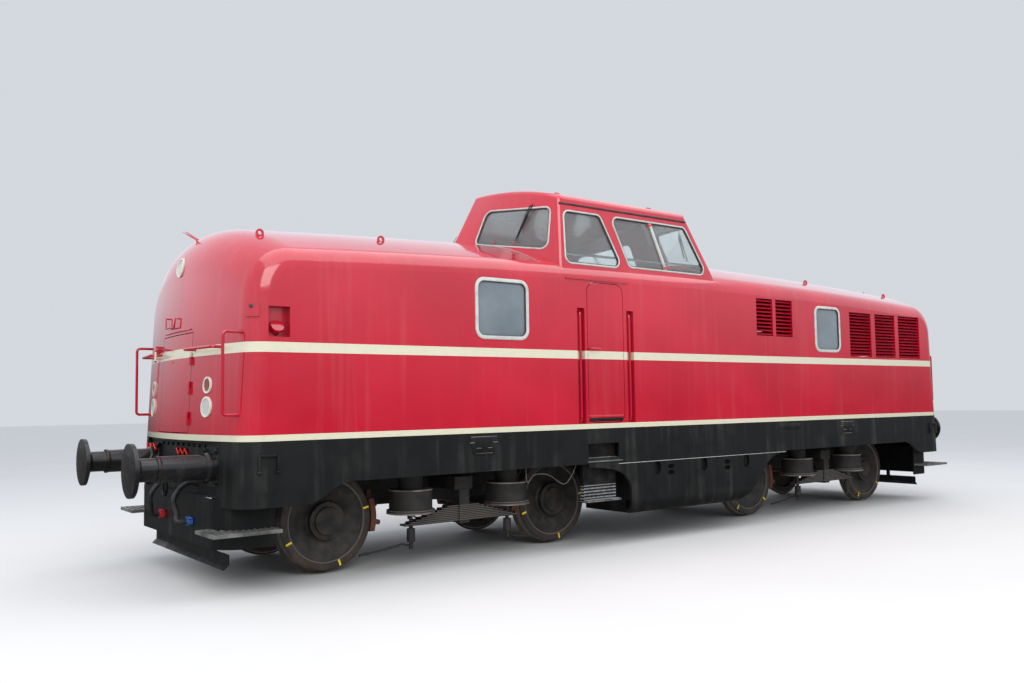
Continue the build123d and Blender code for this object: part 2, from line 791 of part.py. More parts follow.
with BuildPart() as hood_glass:
    with BuildSketch(Plane.XZ.offset(BODY_HALF_W - PANE_INSET - PANE_T)):
        for near, far, low, high in HOOD_WINDOWS:
            with Locations(((near + far) / 2, (low + high) / 2)):
                RectangleRounded(
                    far - near - 2 * PANE_GAP, high - low - 2 * PANE_GAP, HOOD_WINDOW_R - PANE_GAP)
    extrude(amount=PANE_T)
    mirror(about=Plane.XZ)
keep(hood_glass, "hood_glass")

with BuildPart() as near_hood:
    add(shell.part)
    split(bisect_by=Plane.YZ.offset(SPLIT_NEAR_X), keep=Keep.BOTTOM)
    add(hood_window_cut.part, mode=Mode.SUBTRACT)
    add(end_door_cut, mode=Mode.SUBTRACT)
    add(end_body_knuckles)
    add(mirrored(filler_box))
    add(mirrored(filler_cut), mode=Mode.SUBTRACT)
keep(near_hood, "near_hood")

# Filler caps: each tilts upwards on a neck from the back of its recess
tilt = radians(CAP_TILT)
cap_centre = (sum(FILLER_X) / 2, -BODY_HALF_W + CAP_IN, sum(FILLER_Z) / 2 - CAP_DROP)
with BuildPart() as filler_cap:
    with Locations(Plane(origin=cap_centre, x_dir=(1, 0, 0), z_dir=(0, -cos(tilt), sin(tilt)))):
        Cylinder(CAP_R, CAP_T)
        fillet(filler_cap.edges(), CAP_EDGE_R)
        with Locations((0, 0, -FILLER_DEPTH / 2)):
            Cylinder(NECK_R, FILLER_DEPTH)
    split(bisect_by=Plane.XZ.offset(BODY_HALF_W - FILLER_DEPTH + SEAT_GAP), keep=Keep.TOP)
with BuildPart() as filler_caps:
    add(mirrored(filler_cap.part))
keep(filler_caps, "filler_caps")

with BuildPart() as louvre_cut:
    with BuildSketch(Plane.XZ.offset(-BODY_HALF_W - WALL)):
        for near, far, low, high, _ in LOUVRES:
            with Locations(((near + far) / 2, (low + high) / 2)):
                Rectangle(far - near, high - low)
    extrude(amount=2 * (BODY_HALF_W + WALL))

with BuildPart() as far_hood:
    add(shell.part)
    split(bisect_by=Plane.YZ.offset(SPLIT_FAR_X), keep=Keep.TOP)
    add(hood_window_cut.part, mode=Mode.SUBTRACT)
    add(louvre_cut.part, mode=Mode.SUBTRACT)
    add(end_door_cut.rotate(Axis.Z, 180), mode=Mode.SUBTRACT)
    add(end_body_knuckles.rotate(Axis.Z, 180))
keep(far_hood, "far_hood")

# Louvre panels: a rim with slats that slope outwards and down
with BuildPart() as louvres:
    for near, far, low, high, count in LOUVRES:
        pitch = (high - low - 2 * LOUVRE_RIM) / count
        with BuildSketch(Plane.XZ.offset(BODY_HALF_W - WALL)):
            with Locations(((near + far) / 2, (low + high) / 2)):
                Rectangle(far - near - 2 * SEAT_GAP, high - low - 2 * SEAT_GAP)
                Rectangle(far - near - 2 * LOUVRE_RIM, high - low - 2 * LOUVRE_RIM, mode=Mode.SUBTRACT)
        extrude(amount=WALL)
        with BuildSketch(Plane.YZ.offset(near + LOUVRE_RIM / 2)):
            for i in range(count):
                level = low + LOUVRE_RIM + (i + 0.5) * pitch
                with Locations((-BODY_HALF_W + WALL / 2, level)):
                    Rectangle(SLAT_DEPTH, SLAT_T, rotation=SLAT_TILT)
        extrude(amount=far - near - LOUVRE_RIM)
    mirror(about=Plane.XZ)
keep(louvres, "louvres")

# Middle body with the cab's lower half: open upwards into the upper cab, closed by a bulkhead at each hood
with BuildPart() as bulkhead_slabs:
    add(block((SPLIT_NEAR_X, -BODY_HALF_W, DECK_Z), (SPLIT_NEAR_X + BULKHEAD_T, BODY_HALF_W, CROWN_Z)))
    add(block((SPLIT_FAR_X - BULKHEAD_T, -BODY_HALF_W, DECK_Z), (SPLIT_FAR_X, BODY_HALF_W, CROWN_Z)))
with BuildPart() as bulkheads:
    add(inner_form)
    add(bulkhead_slabs.part, mode=Mode.INTERSECT)
with BuildPart() as roof_opening:
    with BuildSketch(Plane.XY.offset(PLATFORM_Z)):
        with BuildLine():
            Polyline(*cab_plan(CAB_BASE_Z), close=True)
        make_face()
        offset(amount=-WALL - OPENING_LEDGE, kind=Kind.INTERSECTION, mode=Mode.REPLACE)
        with Locations(((SPLIT_NEAR_X + SPLIT_FAR_X) / 2, 0)):
            Rectangle(SPLIT_FAR_X - SPLIT_NEAR_X - 4 * BULKHEAD_T, 2 * BODY_HALF_W, mode=Mode.INTERSECT)
    extrude(amount=CROWN_Z + WALL - PLATFORM_Z)
slot_troughs = []
slot_hollows = []
for x in SLOT_X:
    low = (x - SLOT_W / 2, -BODY_HALF_W, SLOT_Z[0])
    high = (x + SLOT_W / 2, -BODY_HALF_W + SLOT_DEPTH, SLOT_Z[1])
    slot_hollows += mirrored(block((low[0], low[1] - WALL, low[2]), high))
    slot_troughs += mirrored(block(
        (low[0] - SLOT_PLATE_T, low[1] + WALL / 2, low[2] - SLOT_PLATE_T),
        (high[0] + SLOT_PLATE_T, high[1] + SLOT_PLATE_T, high[2] + SLOT_PLATE_T)))
with BuildPart() as cab_body:
    add(shell.part)
    split(bisect_by=Plane.YZ.offset(SPLIT_NEAR_X), keep=Keep.TOP)
    split(bisect_by=Plane.YZ.offset(SPLIT_FAR_X), keep=Keep.BOTTOM)
    add(bulkheads.part)
    add(roof_opening.part, mode=Mode.SUBTRACT)
    add(door_cut, mode=Mode.SUBTRACT)
    add(mirrored(side_body_knuckles))
    add(slot_troughs)
    add(slot_hollows, mode=Mode.SUBTRACT)
keep(cab_body, "cab_body")

# Doors: a leaf cut from the same shell, with its half of the hinge and a handle
side_leaf_cut = door_prism(DOOR_GAP)
end_leaf_cut = end_door_prism(DOOR_GAP)
side_handle = bent_rod(
    [
        (HANDLE_X, -BODY_HALF_W + WALL / 2, HANDLE_Z),
        (HANDLE_X, -BODY_HALF_W - HANDLE_OUT, HANDLE_Z),
        (HANDLE_X + HANDLE_L, -BODY_HALF_W - HANDLE_OUT, HANDLE_Z),
    ],
    HANDLE_BEND_R, HANDLE_R,
)
with BuildPart() as side_leaf:
    add(shell.part)
    add(side_leaf_cut, mode=Mode.INTERSECT)
    add(block((-NOSE_X, 0, DECK_Z), (NOSE_X, BODY_HALF_W, CROWN_Z)), mode=Mode.SUBTRACT)
    add(side_leaf_knuckles)
    add(side_handle)
with BuildPart() as side_door_right:
    add(side_leaf.part)
keep(side_door_right, "side_door_right")
with BuildPart() as side_door_left:
    add(side_leaf.part.mirror(Plane.XZ))
keep(side_door_left, "side_door_left")

end_handle = bent_rod(
    [
        (-NOSE_X + HANDLE_IN, END_HANDLE_Y, HANDLE_Z),
        (-NOSE_X - HANDLE_OUT, END_HANDLE_Y, HANDLE_Z),
        (-NOSE_X - HANDLE_OUT, END_HANDLE_Y, HANDLE_Z - HANDLE_L),
    ],
    HANDLE_BEND_R, HANDLE_R,
)
with BuildPart() as end_door_near:
    add(shell.part)
    add(end_leaf_cut, mode=Mode.INTERSECT)
    add(end_leaf_knuckles)
    add(end_handle)
keep(end_door_near, "end_door_near")
with BuildPart() as end_door_far:
    add(end_door_near.part.rotate(Axis.Z, 180))
keep(end_door_far, "end_door_far")

# Lamps: rims and lenses that follow the bowed nose
proud_form = hood_form(-LAMP_PROUD, DECK_Z)
lens_form = hood_form(-LENS_PROUD, DECK_Z)


def lamp_prisms(chosen, grow):
    """Discs through the near nose for the chosen lamps, their radius let out by grow from the lens."""
    with BuildPart() as discs:
        with BuildSketch(Plane.YZ.offset(-NOSE_X - 2 * WALL)):
            for y, z, rim_r, _ in chosen:
                with Locations((y, z)):
                    Circle(rim_r - LAMP_RIM + grow)
        extrude(amount=NOSE_TOP_R)
    return discs.part


rim_discs = lamp_prisms(LAMPS, LAMP_RIM)
rim_bores = lamp_prisms(LAMPS, 0.0)
red_discs = lamp_prisms([lamp for lamp in LAMPS if lamp[3]], -LAMP_GAP)
white_discs = lamp_prisms([lamp for lamp in LAMPS if not lamp[3]], -LAMP_GAP)
with BuildPart() as near_rims:
    add(proud_form)
    add(clear_form, mode=Mode.SUBTRACT)
    add(rim_discs, mode=Mode.INTERSECT)
    add(rim_bores, mode=Mode.SUBTRACT)
with BuildPart() as lens_skin:
    add(lens_form)
    add(clear_form, mode=Mode.SUBTRACT)
with BuildPart() as near_red:
    add(lens_skin.part)
    add(red_discs, mode=Mode.INTERSECT)
with BuildPart() as near_white:
    add(lens_skin.part)
    add(white_discs, mode=Mode.INTERSECT)
with BuildPart() as lamp_rims:
    add(turned(near_rims.part))
keep(lamp_rims, "lamp_rims")
with BuildPart() as tail_lenses:
    add(turned(near_red.part))
keep(tail_lenses, "tail_lenses")
with BuildPart() as head_lenses:
    add(turned(near_white.part))
keep(head_lenses, "head_lenses")

# Rails round the noses and beside the cab doors
nose_rail = bent_rod(
    [
        (-NOSE_X + NOSE_TOP_R, NOSE_RAIL_Y[0], NOSE_RAIL_Z),
        (-NOSE_X - NOSE_RAIL_OUT + bow(NOSE_RAIL_Y[0]), NOSE_RAIL_Y[0], NOSE_RAIL_Z),
        (-NOSE_X - NOSE_RAIL_OUT + bow(NOSE_RAIL_Y[1]), NOSE_RAIL_Y[1], NOSE_RAIL_Z),
        (-NOSE_X + NOSE_TOP_R, NOSE_RAIL_Y[1], NOSE_RAIL_Z),
    ],
    ROD_BEND_R, ROD_R,
)
corner_rail = bent_rod(
    [
        (-NOSE_X + 2 * CORNER_R, CORNER_RAIL_Y, CORNER_RAIL_Z[0]),
        (-CORNER_RAIL_X, CORNER_RAIL_Y, CORNER_RAIL_Z[0]),
        (-CORNER_RAIL_X, CORNER_RAIL_Y, CORNER_RAIL_Z[1]),
        (-NOSE_X + 2 * CORNER_R, CORNER_RAIL_Y, CORNER_RAIL_Z[1]),
    ],
    ROD_BEND_R, ROD_R,
)
with BuildPart() as nose_rails:
    for rod in mirrored(nose_rail) + mirrored(corner_rail):
        add(turned(rod))
    add(clear_form, mode=Mode.SUBTRACT)
keep(nose_rails, "nose_rails")

slot_back_y = -BODY_HALF_W + SLOT_DEPTH - SEAT_GAP
slot_rod_y = -BODY_HALF_W + SLOT_ROD_IN
door_rods = [
    bent_rod(
        [
            (x, slot_back_y, SLOT_Z[0] + SLOT_ROD_END),
            (x, slot_rod_y, SLOT_Z[0] + SLOT_ROD_END),
            (x, slot_rod_y, SLOT_Z[1] - SLOT_ROD_END),
            (x, slot_back_y, SLOT_Z[1] - SLOT_ROD_END),
        ],
        ROD_BEND_R, ROD_R,
    )
    for x in SLOT_X
]
with BuildPart() as door_rails:
    for rod in door_rods:
        add(mirrored(rod))
keep(door_rails, "door_rails")

# Drip mouldings over the cab doors
with BuildPart() as drip_mouldings:
    add(mirrored(block(
        (DRIP_X[0], -BODY_HALF_W - DRIP_OUT, DRIP_Z[0]),
        (DRIP_X[1], -BODY_HALF_W, DRIP_Z[1]))))
keep(drip_mouldings, "drip_mouldings")

# Wipers on the cab's end windows: an arm that leaves the wall above the glass and comes back down on it
def cab_end_x(y, z):
    """Where the cab's near end lies at a distance y from its middle and a height z."""
    posts = cab_plan(z)
    nose, outer = posts[0], posts[1] if y < 0 else posts[-1]
    return nose[0] + (outer[0] - nose[0]) * y / outer[1]


def wiper_foot(y, z):
    """Point just clear of the raked near end, where a rod along X may end."""
    here = cab_end_x(y, z)
    slope = hypot(cab_end_x(y + 1, z) - here, cab_end_x(y, z + 1) - here)
    return (here - WIPER_R * slope - SEAT_GAP, y, z)


near_wipers = []
for side in (-1, 1):
    pivot = wiper_foot(side * WIPER_PIVOT[0], WIPER_PIVOT[1])
    tip = wiper_foot(side * WIPER_END[0], WIPER_END[1])
    raised = [(x - WIPER_OUT, y, z) for x, y, z in (pivot, tip)]
    near_wipers.append(bent_rod([pivot, *raised, tip], WIPER_BEND_R, WIPER_R))
with BuildPart() as wipers:
    for arm in near_wipers:
        add(twinned(arm))
keep(wipers, "wipers")

# Lifting eyes on the hoods' crowns
def roof_z(x, y):
    """Height of the hoods' roof over a point, short of its rounded edges."""
    reach = ROOF_ARC_R - CROWN_R + sqrt(CROWN_R**2 - y**2)
    return CROWN_Z - ROOF_ARC_R + sqrt(reach**2 - x**2)


with BuildPart() as lifting_eyes:
    for side in (-1, 1):
        with BuildSketch(Plane.XZ.offset(side * EYE_Y - EYE_T / 2)):
            for x in EYE_X:
                eye_z = roof_z(x, EYE_Y) + EYE_BORE_R
                with Locations((x, eye_z)):
                    Circle(EYE_R)
                with Locations((x, eye_z - EYE_R)):
                    Rectangle(2 * EYE_R, 2 * EYE_R)
                with Locations((x, eye_z)):
                    Circle(EYE_BORE_R, mode=Mode.SUBTRACT)
        extrude(amount=EYE_T)
    add(clear_form, mode=Mode.SUBTRACT)
keep(lifting_eyes, "lifting_eyes")

# Main frame: deck sheet, sills, headstocks, and beams over each bogie with its pivot
deck_sheet = skirt_form(SKIRT_T, DECK_Z - DECK_SHEET_T, DECK_Z)
FRAME_ROOF_Z = DECK_Z - DECK_SHEET_T
SILL_LOW_Z = FRAME_ROOF_Z - SILL_H
SILL_END_X = HEADSTOCK_X - HEADSTOCK_T
with BuildPart() as main_frame:
    add(deck_sheet)
    for side in (-1, 1):
        with Locations((0, side * SILL_Y, FRAME_ROOF_Z - SILL_H / 2)):
            Box(2 * SILL_END_X, SILL_W, SILL_H)
        with Locations((side * (SILL_END_X + HEADSTOCK_T / 2), 0, (FRAME_ROOF_Z + HEADSTOCK_LOW_Z) / 2)):
            Box(HEADSTOCK_T, 2 * HEADSTOCK_HALF_W, FRAME_ROOF_Z - HEADSTOCK_LOW_Z)
        for cheek in (-1, 1):
            cheek_x = side * (SILL_END_X + (HEADSTOCK_T + CHEEK_OUT) / 2)
            cheek_y = cheek * (HEADSTOCK_HALF_W - CHEEK_T / 2)
            with Locations((cheek_x, cheek_y, (FRAME_ROOF_Z + HEADSTOCK_LOW_Z) / 2)):
                Box(HEADSTOCK_T + CHEEK_OUT, CHEEK_T, FRAME_ROOF_Z - HEADSTOCK_LOW_Z)
        pivot_x = side * PIVOT_X
        with Locations((pivot_x, 0, (FRAME_ROOF_Z + BOLSTER_LOW_Z) / 2)):
            Box(2 * BOLSTER_HALF_L, 2 * BOLSTER_HALF_W, FRAME_ROOF_Z - BOLSTER_LOW_Z)
        for spring_y in (-SPRING_Y, SPRING_Y):
            with Locations((pivot_x, spring_y, (FRAME_ROOF_Z + SPRING_BEAM_LOW_Z) / 2)):
                Box(2 * SPRING_BEAM_HALF, SPRING_BEAM_W, FRAME_ROOF_Z - SPRING_BEAM_LOW_Z)
        with Locations((pivot_x, 0, (PIVOT_LOW_Z + BOLSTER_LOW_Z) / 2)):
            Cylinder(PIVOT_R, BOLSTER_LOW_Z - PIVOT_LOW_Z)
        with Locations((pivot_x, 0, (FRAME_TOP_Z + SEAT_GAP + BOLSTER_LOW_Z) / 2)):
            Cylinder(PIVOT_PLATE_R, BOLSTER_LOW_Z - FRAME_TOP_Z - SEAT_GAP)
        with Locations((side * CROSS_BEAM_X, 0, FRAME_ROOF_Z - SILL_H / 2)):
            Box(CROSS_BEAM_W, 2 * SILL_Y, SILL_H)
keep(main_frame, "main_frame")

# Valances along the sides, with the step pockets
pocket_x = sum(POCKET_X) / 2
with BuildPart() as side_valances:
    with BuildSketch(Plane.XZ.offset(BODY_HALF_W - SKIRT_T)):
        with BuildLine():
            Line((-ARCH_END_X, VALANCE_LOW_Z), (ARCH_END_X, VALANCE_LOW_Z))
            Spline((ARCH_END_X, VALANCE_LOW_Z), (END_SKIRT_BACK_X, VALANCE_END_Z), tangents=((1, 0), (1, 0)))
            Polyline(
                (END_SKIRT_BACK_X, VALANCE_END_Z), (END_SKIRT_BACK_X, DECK_Z),
                (-END_SKIRT_BACK_X, DECK_Z), (-END_SKIRT_BACK_X, VALANCE_END_Z))
            Spline((-END_SKIRT_BACK_X, VALANCE_END_Z), (-ARCH_END_X, VALANCE_LOW_Z), tangents=((1, 0), (1, 0)))
        make_face()
        with Locations((pocket_x, sum(POCKET_Z) / 2)):
            Rectangle(POCKET_X[1] - POCKET_X[0], POCKET_Z[1] - POCKET_Z[0], mode=Mode.SUBTRACT)
    extrude(amount=SKIRT_T)
    mirror(about=Plane.XZ)
keep(side_valances, "side_valances")

# End skirts: the ring round each corner, a shelf below the headstock and the rounded apron
SHELF_LOW_Z = HEADSTOCK_LOW_Z - SHELF_T
ring_outer = skirt_form(0.0, VALANCE_END_Z, DECK_Z)
ring_inner = skirt_form(SKIRT_T, VALANCE_END_Z - WALL, DECK_Z + WALL)
with BuildPart() as shelf:
    add(ring_inner)
    slab = block((-APRON_X, -BODY_HALF_W, SHELF_LOW_Z), (-SHELF_BACK_X, BODY_HALF_W, HEADSTOCK_LOW_Z))
    add(slab, mode=Mode.INTERSECT)
with BuildPart() as apron:
    with BuildSketch(Plane.XY.offset(APRON_LOW_Z)):
        with Locations((-SHELF_BACK_X, 0)):
            RectangleRounded(2 * (APRON_X - SHELF_BACK_X), 2 * APRON_HALF_W, APRON_R)
            offset(amount=-APRON_T, mode=Mode.SUBTRACT)
    extrude(amount=SHELF_LOW_Z - APRON_LOW_Z)
    split(bisect_by=Plane.YZ.offset(-SHELF_BACK_X), keep=Keep.BOTTOM)
middle_gap = block(
    (-NOSE_X - 2 * WALL, -HEADSTOCK_HALF_W, VALANCE_END_Z - WALL),
    (-SHELF_BACK_X, HEADSTOCK_HALF_W, DECK_Z + WALL),
)
with BuildPart() as end_skirt_near:
    add(ring_outer)
    add(ring_inner, mode=Mode.SUBTRACT)
    split(bisect_by=Plane.YZ.offset(-END_SKIRT_BACK_X), keep=Keep.BOTTOM)
    add(middle_gap, mode=Mode.SUBTRACT)
    add(shelf.part)
    add(apron.part)
keep(end_skirt_near, "end_skirt_near")
with BuildPart() as end_skirt_far:
    add(end_skirt_near.part.rotate(Axis.Z, 180))
keep(end_skirt_far, "end_skirt_far")

# Guard boards ahead of the first wheels
with BuildPart() as near_guard:
    with BuildSketch(Plane.XZ.offset(-GUARD_HALF_W)):
        with BuildLine():
            Polyline(
                (-GUARD_X, GUARD_TOP_Z), (-GUARD_X, GUARD_LOW_Z + GUARD_LIP),
                (-GUARD_X - GUARD_LIP, GUARD_LOW_Z), (-GUARD_X - GUARD_LIP + GUARD_T, GUARD_LOW_Z),
                (-GUARD_X + GUARD_T, GUARD_LOW_Z + GUARD_LIP), (-GUARD_X + GUARD_T, GUARD_TOP_Z), close=True)
        make_face()
    extrude(amount=2 * GUARD_HALF_W)
    for side in (-1, 1):
        with Locations((-GUARD_X + GUARD_T + GUARD_BRACKET_T / 2, side * GUARD_BRACKET_Y, 0)):
            with Locations((0, 0, (SHELF_LOW_Z + GUARD_LOW_Z + GUARD_LIP) / 2)):
                Box(GUARD_BRACKET_T, GUARD_BRACKET_T, SHELF_LOW_Z - GUARD_LOW_Z - GUARD_LIP)
with BuildPart() as guard_boards:
    add(turned(near_guard.part))
keep(guard_boards, "guard_boards")

# Steps at the corners, round the apron
with BuildPart() as corner_step:
    with BuildSketch(Plane.XY.offset(STEP_Z)):
        step_x = -(STEP_FRONT_X + STEP_BACK_X) / 2
        step_y = (STEP_OUT_Y + STEP_IN_Y) / 2
        with Locations((step_x, step_y)):
            Rectangle(STEP_FRONT_X - STEP_BACK_X, STEP_OUT_Y - STEP_IN_Y)
            with GridLocations(STEP_SLOT_PITCH, 0, STEP_SLOT_COUNT, 1):
                Rectangle(STEP_SLOT_W, STEP_OUT_Y - STEP_IN_Y - 2 * STEP_RIM, mode=Mode.SUBTRACT)
        with Locations((-SHELF_BACK_X, 0)):
            RectangleRounded(2 * (APRON_X - SHELF_BACK_X), 2 * APRON_HALF_W, APRON_R, mode=Mode.SUBTRACT)
    extrude(amount=STEP_T)
with BuildPart() as end_steps:
    for step in mirrored(corner_step.part):
        add(turned(step))
keep(end_steps, "end_steps")

# Steps under the cab doors: a riser behind the valance with a pocket plate and a hanging tread
with BuildPart() as cab_step:
    add(block((RISER_X[0], -RISER_Y - RISER_T, LOW_TREAD_Z), (RISER_X[1], -RISER_Y, FRAME_ROOF_Z)))
    add(block(
        (POCKET_X[0], -BODY_HALF_W + SKIRT_T, POCKET_Z[0] - POCKET_PLATE_T),
        (POCKET_X[1], -RISER_Y - RISER_T, POCKET_Z[0])))
    add(block(
        (LOW_TREAD_X[0], -TREAD_OUT_Y, LOW_TREAD_Z), (LOW_TREAD_X[1], -RISER_Y - RISER_T, LOW_TREAD_Z + TREAD_T)))
    add(block(
        (LOW_TREAD_X[0], -RISER_Y - RISER_T - STRAP_W, LOW_TREAD_Z + TREAD_T),
        (LOW_TREAD_X[0] + STRAP_T, -RISER_Y - RISER_T, VALANCE_LOW_Z)))
    with Locations((sum(LOW_TREAD_X) / 2, -(TREAD_OUT_Y + RISER_Y + RISER_T) / 2, LOW_TREAD_Z + TREAD_T / 2)):
        with GridLocations(STEP_SLOT_PITCH, 0, TREAD_SLOT_COUNT, 1):
            Box(STEP_SLOT_W, TREAD_OUT_Y - RISER_Y - RISER_T - 2 * STEP_RIM, TREAD_T, mode=Mode.SUBTRACT)
with BuildPart() as cab_steps:
    add(mirrored(cab_step.part))
keep(cab_steps, "cab_steps")

# Fuel tanks behind their shaped skins
near_tip, arch_end, arch_foot, bottom_end, far_tip = SKIN_OUTLINE
roll_y = -BODY_HALF_W + SKIN_ROLL_R
roll_z = TANK_LOW_Z + SKIN_ROLL_R
with BuildPart() as skin_section:
    with BuildSketch(Plane.YZ.offset(near_tip[0])):
        with BuildLine():
            Line((-BODY_HALF_W, VALANCE_LOW_Z), (-BODY_HALF_W, roll_z))
            RadiusArc((-BODY_HALF_W, roll_z), (roll_y, TANK_LOW_Z), -SKIN_ROLL_R)
            Line((roll_y, TANK_LOW_Z), (roll_y, TANK_LOW_Z + SKIN_T))
            RadiusArc((roll_y, TANK_LOW_Z + SKIN_T), (-BODY_HALF_W + SKIN_T, roll_z), SKIN_ROLL_R - SKIN_T)
            Polyline(
                (-BODY_HALF_W + SKIN_T, roll_z), (-BODY_HALF_W + SKIN_T, VALANCE_LOW_Z),
                (-BODY_HALF_W, VALANCE_LOW_Z))
        make_face()
    extrude(amount=far_tip[0] - near_tip[0])
with BuildPart() as tank:
    with BuildSketch(Plane.XZ.offset(-roll_y)) as skin_side:
        with BuildLine():
            Polyline(near_tip, (near_tip[0], VALANCE_LOW_Z), (far_tip[0], VALANCE_LOW_Z), far_tip)
            Spline(far_tip, bottom_end, tangents=((-1, 0), (-1, 0)))
            Polyline(bottom_end, arch_foot, arch_end)
            Spline(arch_end, near_tip, tangents=((-0.2, 1), (-1, 0.15)))
        make_face()
        fillet(skin_side.vertices().group_by(Axis.Y)[0].sort_by(Axis.X)[0], SKIN_CORNER_R)
        with Locations(*[(x, SKIN_SLOT_Z) for x in SKIN_SLOT_X]):
            SlotOverall(SKIN_SLOT_H, SKIN_SLOT_W, rotation=90, mode=Mode.SUBTRACT)
    extrude(amount=SKIN_ROLL_R)
    add(skin_section.part, mode=Mode.INTERSECT)
    add(block((TANK_X[0], roll_y, TANK_LOW_Z + TANK_RISE), (TANK_X[1], -SILL_Y - SILL_W / 2, FRAME_ROOF_Z)))
    add(block((TANK_X[0], -BODY_HALF_W + SKIN_T, roll_z), (TANK_X[1], roll_y, FRAME_ROOF_Z)))
with BuildPart() as fuel_tanks:
    add(mirrored(tank.part))
keep(fuel_tanks, "fuel_tanks")

# Buffers: base plate, sleeve, plunger and domed head
face_x = BUFFER_FACE_X - HEADSTOCK_X
with BuildPart() as buffer:
    with BuildSketch(Plane.XZ):
        with BuildLine():
            Polyline((BUFFER_BASE_T, 0), *BUFFER_PROFILE)
            Polyline(
                BUFFER_PROFILE[-1], (face_x - BUFFER_DOME / 3, BUFFER_DOME_R[0]),
                (face_x, BUFFER_DOME_R[1]), (face_x, 0), (BUFFER_BASE_T, 0))
        make_face()
    revolve(axis=Axis.X)
    with BuildSketch(Plane.YZ):
        RectangleRounded(BUFFER_BASE, BUFFER_BASE, 2 * BUFFER_BASE_T)
    extrude(amount=BUFFER_BASE_T)
with BuildPart() as buffers:
    for side in (-1, 1):
        add(turned(buffer.part.moved(Location((HEADSTOCK_X, side * BUFFER_Y, BUFFER_Z)))))
keep(buffers, "buffers")

# Draw gear: a hook with its pin and a hanging shackle
shackle = bent_rod(
    [
        (SHACKLE_X, -SHACKLE_HALF_W, LINK_R),
        (SHACKLE_X, -SHACKLE_HALF_W, -SHACKLE_DROP),
        (SHACKLE_X, SHACKLE_HALF_W, -SHACKLE_DROP),
        (SHACKLE_X, SHACKLE_HALF_W, LINK_R),
    ],
    SHACKLE_BEND_R, LINK_R,
)
with BuildPart() as coupling:
    with BuildSketch(Plane.XZ.offset(-HOOK_T / 2)):
        with BuildLine():
            Polyline(*HOOK_OUTLINE, close=True)
        make_face()
    extrude(amount=HOOK_T)
    with Locations(Location((SHACKLE_X, 0, 0), (90, 0, 0))):
        Cylinder(PIN_R, 2 * (SHACKLE_HALF_W + LINK_R + PIN_END))
    add(shackle)
with BuildPart() as draw_gear:
    add(turned(coupling.part.moved(Location((HEADSTOCK_X, 0, BUFFER_Z)))))
keep(draw_gear, "draw_gear")

# Brake hoses: each from a gland on the headstock round to a cock on the apron
with BuildPart() as near_cocks:
    for gland, _, cock in HOSES:
        with Locations(Location((-HEADSTOCK_X - GLAND_L / 2, gland[1], gland[2]), (0, 90, 0))):
            Cylinder(GLAND_R, GLAND_L)
        with Locations(Location((-APRON_X - COCK_L / 2, cock[1], cock[2]), (0, 90, 0))):
            Cylinder(GLAND_R, COCK_L)
        with Locations((-APRON_X - COCK_L / 2, cock[1], cock[2] + GLAND_R + LEVER_T / 4)):
            Box(LEVER_W, LEVER_L, LEVER_T)
with BuildPart() as hose_cocks:
    add(turned(near_cocks.part))
keep(hose_cocks, "hose_cocks")

with BuildPart() as near_hoses:
    for gland, bends, cock in HOSES:
        start = (-HEADSTOCK_X - GLAND_L, gland[1], gland[2])
        end = (-APRON_X - COCK_L, cock[1], cock[2])
        with BuildLine() as route:
            Spline(start, *bends, end, tangents=((-1, 0, 0), (1, 0, 0)))
        with BuildSketch(Plane(origin=start, z_dir=(-1, 0, 0))):
            Circle(HOSE_R)
        sweep(path=route.wires()[0])
with BuildPart() as brake_hoses:
    add(turned(near_hoses.part))
keep(brake_hoses, "brake_hoses")

# Cab floor: a raised platform on thin walls, with a well inside each door
floor_block = block(
    (SPLIT_NEAR_X + BULKHEAD_T + SEAT_GAP, -BODY_HALF_W + WALL + SEAT_GAP, DECK_Z),
    (SPLIT_FAR_X - BULKHEAD_T - SEAT_GAP, BODY_HALF_W - WALL - SEAT_GAP, PLATFORM_Z),
)
floor_void = block(
    (SPLIT_NEAR_X + BULKHEAD_T + PLATFORM_T, -BODY_HALF_W + WALL + PLATFORM_T, DECK_Z),
    (SPLIT_FAR_X - BULKHEAD_T - PLATFORM_T, BODY_HALF_W - WALL - PLATFORM_T, PLATFORM_Z - PLATFORM_T),
)
well_walls = block(
    (WELL_X[0] - PLATFORM_T, -BODY_HALF_W, DECK_Z), (WELL_X[1] + PLATFORM_T, -WELL_Y + PLATFORM_T, PLATFORM_Z))
well = block(
    (WELL_X[0], -BODY_HALF_W, DECK_Z + PLATFORM_T), (WELL_X[1], -WELL_Y, PLATFORM_Z + PLATFORM_T))
with BuildPart() as under_floor:
    add(floor_void)
    add(mirrored(well_walls), mode=Mode.SUBTRACT)
with BuildPart() as cab_floor:
    add(floor_block)
    add(under_floor.part, mode=Mode.SUBTRACT)
    add(mirrored(well), mode=Mode.SUBTRACT)
keep(cab_floor, "cab_floor")

desk_x = SPLIT_NEAR_X + BULKHEAD_T + PLATFORM_T
with BuildPart() as near_desk:
    with BuildSketch(Plane.XZ.offset(-DESK_W)):
        with BuildLine():
            Polyline(
                (desk_x, PLATFORM_Z), (desk_x + DESK_D - DESK_TOE, PLATFORM_Z),
                (desk_x + DESK_D, PLATFORM_Z + DESK_H - DESK_DROP), (desk_x + DESK_D / 3, PLATFORM_Z + DESK_H),
                (desk_x, PLATFORM_Z + DESK_H), close=True)
        make_face()
    extrude(amount=2 * DESK_W)
with BuildPart() as control_desks:
    add(twinned(near_desk.part))
keep(control_desks, "control_desks")

